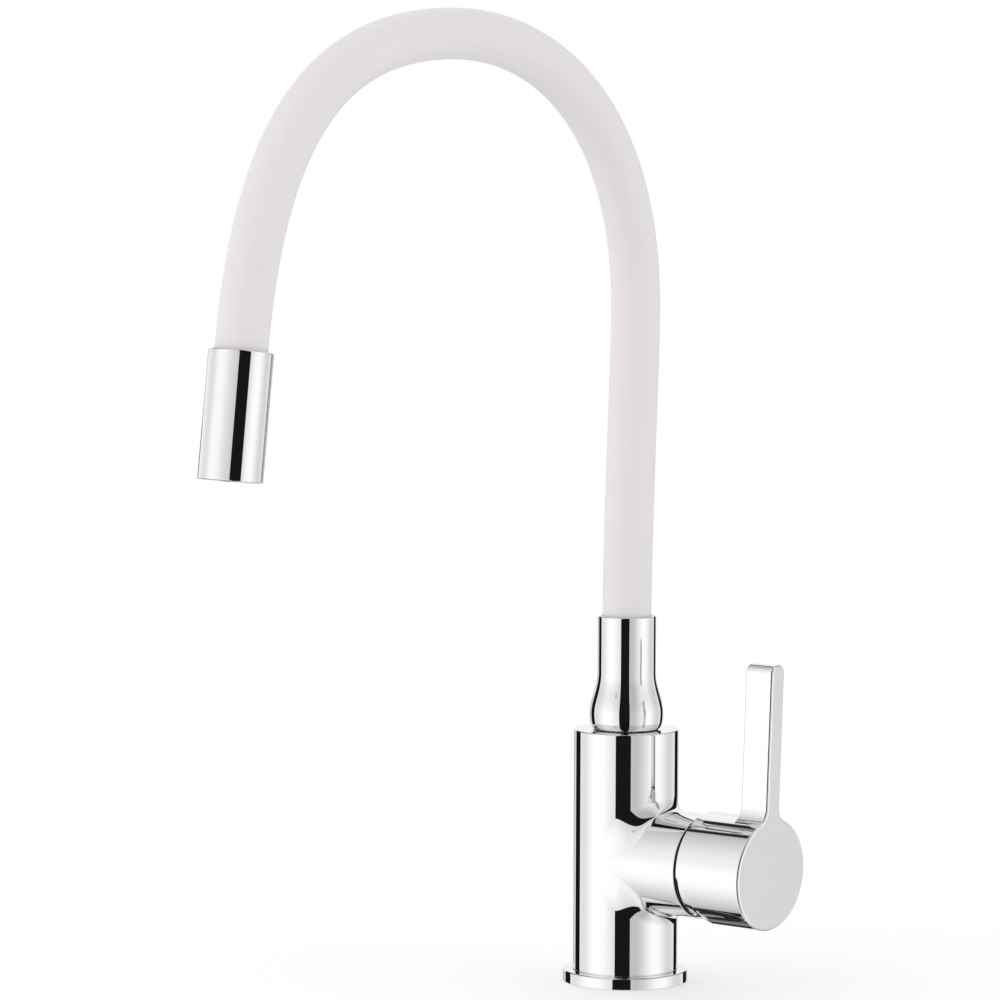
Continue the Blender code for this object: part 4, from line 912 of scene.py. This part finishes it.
at_outlet = Matrix.Translation(OUTLET) @ Matrix.Rotation(-OUTLET_TILT, 4, "X")
chamber_top = CHAMBER_LENGTH - OUTLET_LENGTH
outlet_outline = [
    (SOCKET_RADIUS, 0.0, 0.15 * MM),
    (OUTLET_RADIUS, 0.0, OUTLET_EDGE),
    (OUTLET_RADIUS, -OUTLET_LENGTH, OUTLET_EDGE),
    (CHAMBER_RADIUS, -OUTLET_LENGTH, 0.2 * MM),
    (CHAMBER_RADIUS, chamber_top, 0.0),
    (SHANK_BORE, chamber_top, 0.0),
    (SHANK_BORE, OUTLET_SHOULDER, 0.0),
    (SOCKET_RADIUS, OUTLET_SHOULDER, 0.0),
]
outlet = turned("polished_outlet", outlet_outline, at_outlet, ring=True)
dress(outlet, CHROME, "chrome", "outlet", "outlet_sleeve")

aerator_bottom = AERATOR_SUNK - OUTLET_LENGTH
aerator_top = chamber_top - WASHER_SPACE
aerator_bore = AERATOR_RADIUS - AERATOR_WALL
lip_top = aerator_bottom + AERATOR_LIP_HEIGHT
housing_outline = [
    (aerator_bore, aerator_top, 0.0),
    (AERATOR_RADIUS, aerator_top, 0.2 * MM),
    (AERATOR_RADIUS, aerator_bottom, 0.3 * MM),
    (aerator_bore - AERATOR_LIP, aerator_bottom, 0.5 * MM),
    (aerator_bore - AERATOR_LIP, lip_top, 0.3 * MM),
    (aerator_bore, lip_top, 0.0),
]
housing = turned("polished_aerator_housing", housing_outline, at_outlet, ring=True)
dress(housing, CHROME, "chrome", "outlet", "aerator_housing")

insert_bottom = lip_top + CLEARANCE
insert_top = aerator_top - INSERT_SUNK
insert_radius = aerator_bore - CLEARANCE
insert = turned(
    "moulded_aerator_insert",
    [
        (0.0, insert_top, 0.0),
        (insert_radius, insert_top, 0.3 * MM),
        (insert_radius, insert_bottom, 0.3 * MM),
        (0.0, insert_bottom, 0.0),
    ],
    at_outlet,
    sides=96,
)
jet_places = [(0.0, 0.0)] + arc((0.0, 0.0), JET_CIRCLE, 0.0, math.tau * (JETS - 1) / JETS, JETS - 1)
jets = []
for number, (x, y) in enumerate(jet_places):
    at_jet = at_outlet @ Matrix.Translation((x, y, 0.0))
    jets.append(pin(f"jet_tool_{number}", JET_RADIUS, insert_bottom - PAST, insert_top + PAST, at_jet, 32))
cut(insert, *jets)
dress(insert, WHITE_PLASTIC, "white_plastic", "outlet", "aerator_insert")

# Deck kit
# What holds the faucet from under the worktop: a rolled steel stud, a rubber and a steel horseshoe
# that leave the middle free for the supply hoses, and a hexagon nut.
STUD_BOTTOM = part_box("mounting_stud")[0].z
THREAD_PITCH = 1.25 * MM
THREAD_DEPTH = 0.55 * MM
THREAD_SIDES = 48
HORSESHOE_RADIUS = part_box("horseshoe_washer")[1].x
HORSESHOE_SLOT = 14.5 * MM
HORSESHOE_END = STUD_X - 8.0 * MM
NUT_FLAT = 6.5 * MM
NUT_CHAMFER = 0.5 * MM


def stud_form():
    """A zigzag of thread crests, spun once while it climbs by one pitch, on a chamfered core."""
    bm = bmesh.new()
    count = int((STUD_IN_BODY - STUD_BOTTOM - THREAD_PITCH) / THREAD_PITCH * 2)
    chain = []
    for i in range(count + 1):
        radius = STUD_RADIUS - (THREAD_DEPTH if i % 2 == 0 else 0.0)
        chain.append(bm.verts.new((radius, 0.0, STUD_BOTTOM + THREAD_PITCH / 2 * i)))
    edges = [bm.edges.new(pair) for pair in zip(chain, chain[1:])]
    bmesh.ops.spin(
        bm,
        geom=chain + edges,
        axis=(0.0, 0.0, 1.0),
        cent=(0.0, 0.0, 0.0),
        dvec=(0.0, 0.0, THREAD_PITCH / THREAD_SIDES),
        angle=math.tau,
        steps=THREAD_SIDES,
    )
    bmesh.ops.remove_doubles(bm, verts=bm.verts, dist=WELD)
    bmesh.ops.holes_fill(bm, edges=[e for e in bm.edges if e.is_boundary], sides=0)
    bmesh.ops.recalc_face_normals(bm, faces=bm.faces)
    bmesh.ops.translate(bm, verts=bm.verts, vec=(STUD_X, 0.0, 0.0))
    return new_object("threaded_stud", bm)


stud = stud_form()
dress(stud, STEEL, "steel", "faucet_body", "mounting_stud")

for name, node, material, slot in (
    ("soft_horseshoe", "horseshoe_gasket", RUBBER, "black_rubber"),
    ("steel_horseshoe", "horseshoe_washer", STEEL, "steel"),
):
    low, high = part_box(node)
    plate = turned(
        name,
        [
            (0.0, high.z, 0.0),
            (HORSESHOE_RADIUS, high.z, 0.3 * MM),
            (HORSESHOE_RADIUS, low.z, 0.3 * MM),
            (0.0, low.z, 0.0),
        ],
    )
    bm = bmesh.new()
    bmesh.ops.create_cube(bm, size=1.0)
    slot_length = HORSESHOE_RADIUS + PAST + HORSESHOE_END
    bmesh.ops.scale(bm, verts=bm.verts, vec=(slot_length, HORSESHOE_SLOT * 2, high.z - low.z + PAST))
    slot_middle = (HORSESHOE_END - slot_length / 2, 0.0, (high.z + low.z) / 2)
    bmesh.ops.translate(bm, verts=bm.verts, vec=slot_middle)
    slot_tool = new_object("slot_tool", bm)
    hole_tool = pin("hole_tool", STUD_RADIUS + CLEARANCE, low.z - PAST, high.z + PAST, at_stud, 64)
    cut(plate, slot_tool, hole_tool)
    dress(plate, material, slot, "faucet_body", node)

low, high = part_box("stud_nut")
nut_corner = NUT_FLAT / math.cos(math.pi / 6)
nut = pin("hexagon_nut", nut_corner, low.z, high.z, at_stud, 6)
nut_round = turned(
    "nut_round",
    [
        (0.0, high.z, 0.0),
        (NUT_FLAT, high.z, 0.0),
        (nut_corner + NUT_CHAMFER, high.z - NUT_CHAMFER * 2, 0.0),
        (nut_corner + NUT_CHAMFER, low.z + NUT_CHAMFER * 2, 0.0),
        (NUT_FLAT, low.z, 0.0),
        (0.0, low.z, 0.0),
    ],
    at_stud,
    sides=96,
)
cut(nut, nut_round, way="INTERSECT")
cut(nut, pin("nut_bore_tool", STUD_RADIUS + CLEARANCE, low.z - PAST, high.z + PAST, at_stud, 64))
dress(nut, STEEL, "steel", "faucet_body", "stud_nut")

# Hidden fittings
# The cartridge, seals, ferrules and screws inside keep the shapes of the frame. Each gets the
# finish of what it is made of: moulded plastic, lapped ceramic, turned brass, steel or rubber.
BRASS, brass_shader = finish(
    "turned_brass",
    (0.6, 0.42, 0.17, 1.0),
    (0.52, 0.35, 0.14, 1.0),
    150.0,
    3200.0,
    (0.2, 0.32),
    (0.1, 0.02 * MM),
)
brass_shader.inputs["Metallic"].default_value = 1.0
CERAMIC, ceramic_shader = finish(
    "lapped_ceramic",
    (0.8, 0.78, 0.74, 1.0),
    (0.76, 0.73, 0.69, 1.0),
    70.0,
    3000.0,
    (0.16, 0.26),
    (0.05, 0.01 * MM),
)
ceramic_shader.inputs["Specular IOR Level"].default_value = 0.6

HIDDEN_FINISHES = (
    (GREY_PLASTIC, ("cartridge_base", "cartridge_rotor")),
    (WHITE_PLASTIC, ("cartridge_housing", "disc_carrier", "swivel_bush")),
    (CERAMIC, ("fixed_ceramic_disc", "moving_ceramic_disc")),
    (BRASS, ("cartridge_nut", "lower_ferrule", "upper_ferrule")),
    (STEEL, ("pivot_pin", "lever_stem", "handle_grub_screw")),
    (
        RUBBER,
        (
            "hot_port_seal",
            "cold_port_seal",
            "mixed_port_seal",
            "upper_swivel_seal",
            "lower_swivel_seal",
            "aerator_washer",
        ),
    ),
)
for material, nodes in HIDDEN_FINISHES:
    for node in nodes:
        cad_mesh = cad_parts[node].data
        cad_mesh.materials.clear()
        cad_mesh.materials.append(material)

# Camera
# The view of a long lens from a little above the arm, in front and to the right of the spout.
CAMERA_PLACE = Vector((1.2188, -1.5789, 0.3646))
CAMERA_AZIMUTH = math.radians(39.133)
CAMERA_PITCH = math.radians(4.896)
CAMERA_ROLL = math.radians(0.206)
LENS = 180.0
SENSOR = 36.0

lens = bpy.data.cameras.new("view")
lens.lens = LENS
lens.sensor_width = SENSOR
lens.clip_start = 0.05
camera = bpy.data.objects.new("view", lens)
turn = Matrix.Rotation(CAMERA_AZIMUTH, 4, "Z")
pitch = Matrix.Rotation(QUARTER - CAMERA_PITCH, 4, "X")
roll = Matrix.Rotation(CAMERA_ROLL, 4, "Z")
camera.matrix_world = Matrix.Translation(CAMERA_PLACE) @ turn @ pitch @ roll
bpy.context.scene.collection.objects.link(camera)
bpy.context.scene.camera = camera

# Studio
# A white floor that keeps the object's shadow, and a surround that lights it. Polished surfaces
# mirror the surround's light and dark panels and three black flags. Matt ones are lit by its level
# band and roof alone, and behind the object the camera sees plain white.
FLOOR_HALF = 6.0
FLOOR_DROP = 0.2 * MM
SHADOW_SOFTENING = 0.5
PAPER_GLOW = 1.0
FLOOR_COLOUR = (0.93, 0.93, 0.93, 1.0)
FLAG_COLOUR = (0.01, 0.01, 0.01, 1.0)
SURROUND_STRENGTH = 1.25
# Each flag's ends, to the right of the object and towards the camera, and its lowest and highest edge
FLAGS = (
    (-151.0 * MM, 343.0 * MM, 72.0 * MM, 460.0 * MM, -1.2, 5.0),
    (-345.0 * MM, -196.0 * MM, -245.0 * MM, -335.0 * MM, -0.35, 0.22),
    (300.0 * MM, -265.0 * MM, 180.0 * MM, -365.0 * MM, -1.2, 5.0),
)
# Brightness of the surround against the angle from the camera, in degrees to its right: first the
# band at the object's own level, then the bands below and above it, which differ behind on the left
LEVEL_PANELS = (
    (-180.0, 0.84),
    (-146.0, 0.86),
    (-118.0, 0.72),
    (-106.0, 0.69),
    (-92.0, 0.8),
    (-78.0, 0.98),
    (-52.0, 0.95),
    (-40.0, 0.83),
    (-29.0, 0.77),
    (0.0, 0.57),
    (16.0, 0.47),
    (27.0, 0.53),
    (40.0, 0.66),
    (55.0, 0.9),
    (75.0, 0.95),
    (86.0, 0.85),
    (100.0, 0.66),
    (116.0, 0.585),
    (130.0, 0.755),
    (156.0, 0.84),
    (180.0, 0.84),
)
LOW_PANELS = (
    (-180.0, 0.02),
    (-173.0, 0.02),
    (-171.0, 0.2),
    (-163.0, 0.2),
    (-161.0, 0.05),
    (-150.0, 0.05),
    (-147.0, 0.75),
    (-137.0, 0.75),
    (-134.5, 0.02),
    (-122.5, 0.02),
    (-121.0, 0.42),
    (-116.0, 0.55),
    (-106.0, 0.66),
    (-92.0, 0.8),
    (-78.0, 0.98),
    (-40.0, 0.83),
    (0.0, 0.57),
    (27.0, 0.53),
    (55.0, 0.9),
    (86.0, 0.85),
    (116.0, 0.585),
    (156.0, 0.84),
    (176.0, 0.84),
    (180.0, 0.02),
)
HIGH_PANELS = (
    (-180.0, 1.0),
    (-166.0, 1.0),
    (-164.0, 0.02),
    (-156.5, 0.02),
    (-155.0, 0.3),
    (-130.0, 0.17),
    (-128.0, 0.02),
    (-121.5, 0.02),
    (-119.5, 0.56),
    (-110.0, 0.66),
    (-92.0, 0.8),
    (-78.0, 0.98),
    (-40.0, 0.83),
    (0.0, 0.57),
    (27.0, 0.53),
    (55.0, 0.9),
    (86.0, 0.85),
    (116.0, 0.585),
    (156.0, 1.0),
    (180.0, 1.0),
)
LOW_TAKES_OVER = (-28.0, -24.0)
HIGH_TAKES_OVER = (17.0, 22.0)
# How the surround dims above and below the object's level, in degrees of height
HEIGHT_DIMMING = (
    (-90.0, 0.85),
    (-45.0, 0.85),
    (-34.0, 0.89),
    (-27.0, 0.95),
    (-20.0, 0.99),
    (0.0, 1.0),
    (10.0, 0.92),
    (18.0, 0.86),
    (26.0, 0.83),
    (45.0, 0.8),
    (70.0, 0.75),
    (90.0, 0.7),
)
# Behind the object the surround has a grey line at the level of the worktop's far edge
BEHIND = ((-180.0, 1.0), (-154.0, 1.0), (-148.0, 0.0), (148.0, 0.0), (154.0, 1.0), (180.0, 1.0))
WORKTOP_LEVEL = ((-90.0, 0.0), (-16.0, 0.0), (-12.0, 1.0), (-1.5, 1.0), (2.0, 0.0), (90.0, 0.0))
WORKTOP_DIMMING = 0.45
DIFFUSE_POWER = 1.5
DIFFUSE_STRENGTH = 1.88
DIFFUSE_ROOF = 0.75
ROOF_TAKES_OVER = (48.0, 74.0)

mesh = bpy.data.meshes.new("floor")
bm = bmesh.new()
bmesh.ops.create_grid(bm, x_segments=1, y_segments=1, size=FLOOR_HALF)
bmesh.ops.translate(bm, verts=bm.verts, vec=(0.0, 0.0, -FLOOR_DROP))
bm.to_mesh(mesh)
bm.free()
floor = bpy.data.objects.new("floor", mesh)
bpy.context.scene.collection.objects.link(floor)
floor.visible_glossy = False
paper = bpy.data.materials.new("white_floor")
paper.use_nodes = True
nodes = paper.node_tree.nodes
links = paper.node_tree.links
nodes.clear()
matte = nodes.new("ShaderNodeBsdfDiffuse")
matte.inputs["Color"].default_value = FLOOR_COLOUR
glow = nodes.new("ShaderNodeEmission")
path = nodes.new("ShaderNodeLightPath")
both = nodes.new("ShaderNodeMixShader")
clear = nodes.new("ShaderNodeBsdfTransparent")
side = nodes.new("ShaderNodeNewGeometry")
shown = nodes.new("ShaderNodeMixShader")
surface = nodes.new("ShaderNodeOutputMaterial")
strength = nodes.new("ShaderNodeMath")
strength.operation = "MULTIPLY"
strength.inputs[1].default_value = SHADOW_SOFTENING
glow.inputs["Strength"].default_value = PAPER_GLOW
links.new(path.outputs["Is Camera Ray"], strength.inputs[0])
links.new(strength.outputs["Value"], both.inputs["Fac"])
links.new(matte.outputs["BSDF"], both.inputs[1])
links.new(glow.outputs["Emission"], both.inputs[2])
links.new(side.outputs["Backfacing"], shown.inputs["Fac"])
links.new(both.outputs["Shader"], shown.inputs[1])
links.new(clear.outputs["BSDF"], shown.inputs[2])
links.new(shown.outputs["Shader"], surface.inputs["Surface"])
mesh.materials.append(paper)

flag_material = bpy.data.materials.new("black_flag")
flag_material.use_nodes = True
nodes = flag_material.node_tree.nodes
links = flag_material.node_tree.links
nodes.clear()
dark = nodes.new("ShaderNodeEmission")
dark.inputs["Color"].default_value = FLAG_COLOUR
surface = nodes.new("ShaderNodeOutputMaterial")
links.new(dark.outputs["Emission"], surface.inputs["Surface"])

to_right = Vector((math.cos(CAMERA_AZIMUTH), math.sin(CAMERA_AZIMUTH), 0.0))
to_camera = Vector((math.sin(CAMERA_AZIMUTH), -math.cos(CAMERA_AZIMUTH), 0.0))
for number, (right_a, near_a, right_b, near_b, flag_low, flag_high) in enumerate(FLAGS):
    bm = bmesh.new()
    ends = [to_right * right_a + to_camera * near_a, to_right * right_b + to_camera * near_b]
    low = [bm.verts.new(end + up * flag_low) for end in ends]
    edge = bm.edges.new(low)
    made = bmesh.ops.extrude_edge_only(bm, edges=[edge])["geom"]
    raised = of_kind(made, bmesh.types.BMVert)
    bmesh.ops.translate(bm, verts=raised, vec=up * (flag_high - flag_low))
    flag_mesh = bpy.data.meshes.new(f"flag_{number}")
    bm.to_mesh(flag_mesh)
    bm.free()
    flag_mesh.materials.append(flag_material)
    flag = bpy.data.objects.new(f"flag_{number}", flag_mesh)
    bpy.context.scene.collection.objects.link(flag)
    flag.visible_camera = False
    flag.visible_diffuse = False
    flag.visible_shadow = False
    flag.visible_transmission = False
    flag.visible_volume_scatter = False

world = bpy.data.worlds.new("studio")
bpy.context.scene.world = world
world.use_nodes = True
nodes = world.node_tree.nodes
links = world.node_tree.links
nodes.clear()


def math_node(operation, first, second=None):
    """A Math node whose inputs are sockets or numbers. Returns its output."""
    node = nodes.new("ShaderNodeMath")
    node.operation = operation
    for socket, value in zip(node.inputs, (first, second)):
        if isinstance(value, bpy.types.NodeSocket):
            links.new(value, socket)
        elif value is not None:
            socket.default_value = value
    return node.outputs["Value"]


def table_ramp(source, table, interpolation="LINEAR"):
    """A ramp through a table of degrees and values, whose ends are at shares 0 and 1 of its source."""
    first, last = table[0][0], table[-1][0]
    node = nodes.new("ShaderNodeValToRGB")
    node.color_ramp.interpolation = interpolation
    stops = node.color_ramp.elements
    for _ in table[2:]:
        stops.new(0.5)
    for stop, (degrees, value) in zip(stops, table):
        stop.position = (degrees - first) / (last - first)
        stop.color = (value, value, value, 1.0)
    links.new(source, node.inputs["Fac"])
    return node.outputs["Color"]


def take_over(source, span):
    """From 0 to 1 while the height passes through a span of degrees."""
    node = nodes.new("ShaderNodeMapRange")
    node.interpolation_type = "SMOOTHSTEP"
    node.inputs["From Min"].default_value = math.radians(span[0])
    node.inputs["From Max"].default_value = math.radians(span[1])
    links.new(source, node.inputs["Value"])
    return node.outputs["Result"]


def mixed(share, first, second):
    """The first colour at share 0 and the second at share 1."""
    node = nodes.new("ShaderNodeMix")
    node.data_type = "RGBA"
    sockets = (node.inputs["Factor"], node.inputs["A"], node.inputs["B"])
    for socket, value in zip(sockets, (share, first, second)):
        if isinstance(value, bpy.types.NodeSocket):
            links.new(value, socket)
        else:
            socket.default_value = (value, value, value, 1.0)
    return node.outputs["Result"]


place = nodes.new("ShaderNodeTexCoord")
facing = nodes.new("ShaderNodeVectorRotate")
facing.rotation_type = "Z_AXIS"
facing.inputs["Angle"].default_value = -CAMERA_AZIMUTH
parts = nodes.new("ShaderNodeSeparateXYZ")
links.new(place.outputs["Generated"], facing.inputs["Vector"])
links.new(facing.outputs["Vector"], parts.inputs["Vector"])
angle = math_node("ARCTAN2", parts.outputs["X"], math_node("MULTIPLY", parts.outputs["Y"], -1.0))
turn_share = math_node("ADD", math_node("DIVIDE", angle, math.tau), 0.5)
height = math_node("ARCSINE", parts.outputs["Z"])
height_share = math_node("ADD", math_node("DIVIDE", height, math.pi), 0.5)

level = table_ramp(turn_share, LEVEL_PANELS, "B_SPLINE")
panels = mixed(take_over(height, HIGH_TAKES_OVER), level, table_ramp(turn_share, HIGH_PANELS))
panels = mixed(take_over(height, LOW_TAKES_OVER), table_ramp(turn_share, LOW_PANELS), panels)
line = math_node("MULTIPLY", table_ramp(turn_share, BEHIND), table_ramp(height_share, WORKTOP_LEVEL))
kept = math_node("SUBTRACT", 1.0, math_node("MULTIPLY", line, WORKTOP_DIMMING))
kept = math_node("MULTIPLY", kept, table_ramp(height_share, HEIGHT_DIMMING))
lit = nodes.new("ShaderNodeBackground")
links.new(panels, lit.inputs["Color"])
links.new(math_node("MULTIPLY", kept, SURROUND_STRENGTH), lit.inputs["Strength"])

overhead = take_over(height, ROOF_TAKES_OVER)
walls = math_node("POWER", level, DIFFUSE_POWER)
soft = nodes.new("ShaderNodeBackground")
links.new(mixed(overhead, walls, DIFFUSE_ROOF / DIFFUSE_STRENGTH), soft.inputs["Color"])
soft.inputs["Strength"].default_value = DIFFUSE_STRENGTH

plain = nodes.new("ShaderNodeBackground")
plain.inputs["Color"].default_value = (1.0, 1.0, 1.0, 1.0)
path = nodes.new("ShaderNodeLightPath")
surface = nodes.new("ShaderNodeOutputWorld")
by_diffuse = nodes.new("ShaderNodeMixShader")
links.new(path.outputs["Is Diffuse Ray"], by_diffuse.inputs["Fac"])
links.new(lit.outputs["Background"], by_diffuse.inputs[1])
links.new(soft.outputs["Background"], by_diffuse.inputs[2])
by_camera = nodes.new("ShaderNodeMixShader")
links.new(path.outputs["Is Camera Ray"], by_camera.inputs["Fac"])
links.new(by_diffuse.outputs["Shader"], by_camera.inputs[1])
links.new(plain.outputs["Background"], by_camera.inputs[2])
links.new(by_camera.outputs["Shader"], surface.inputs["Surface"])

bpy.context.scene.view_settings.view_transform = "Standard"
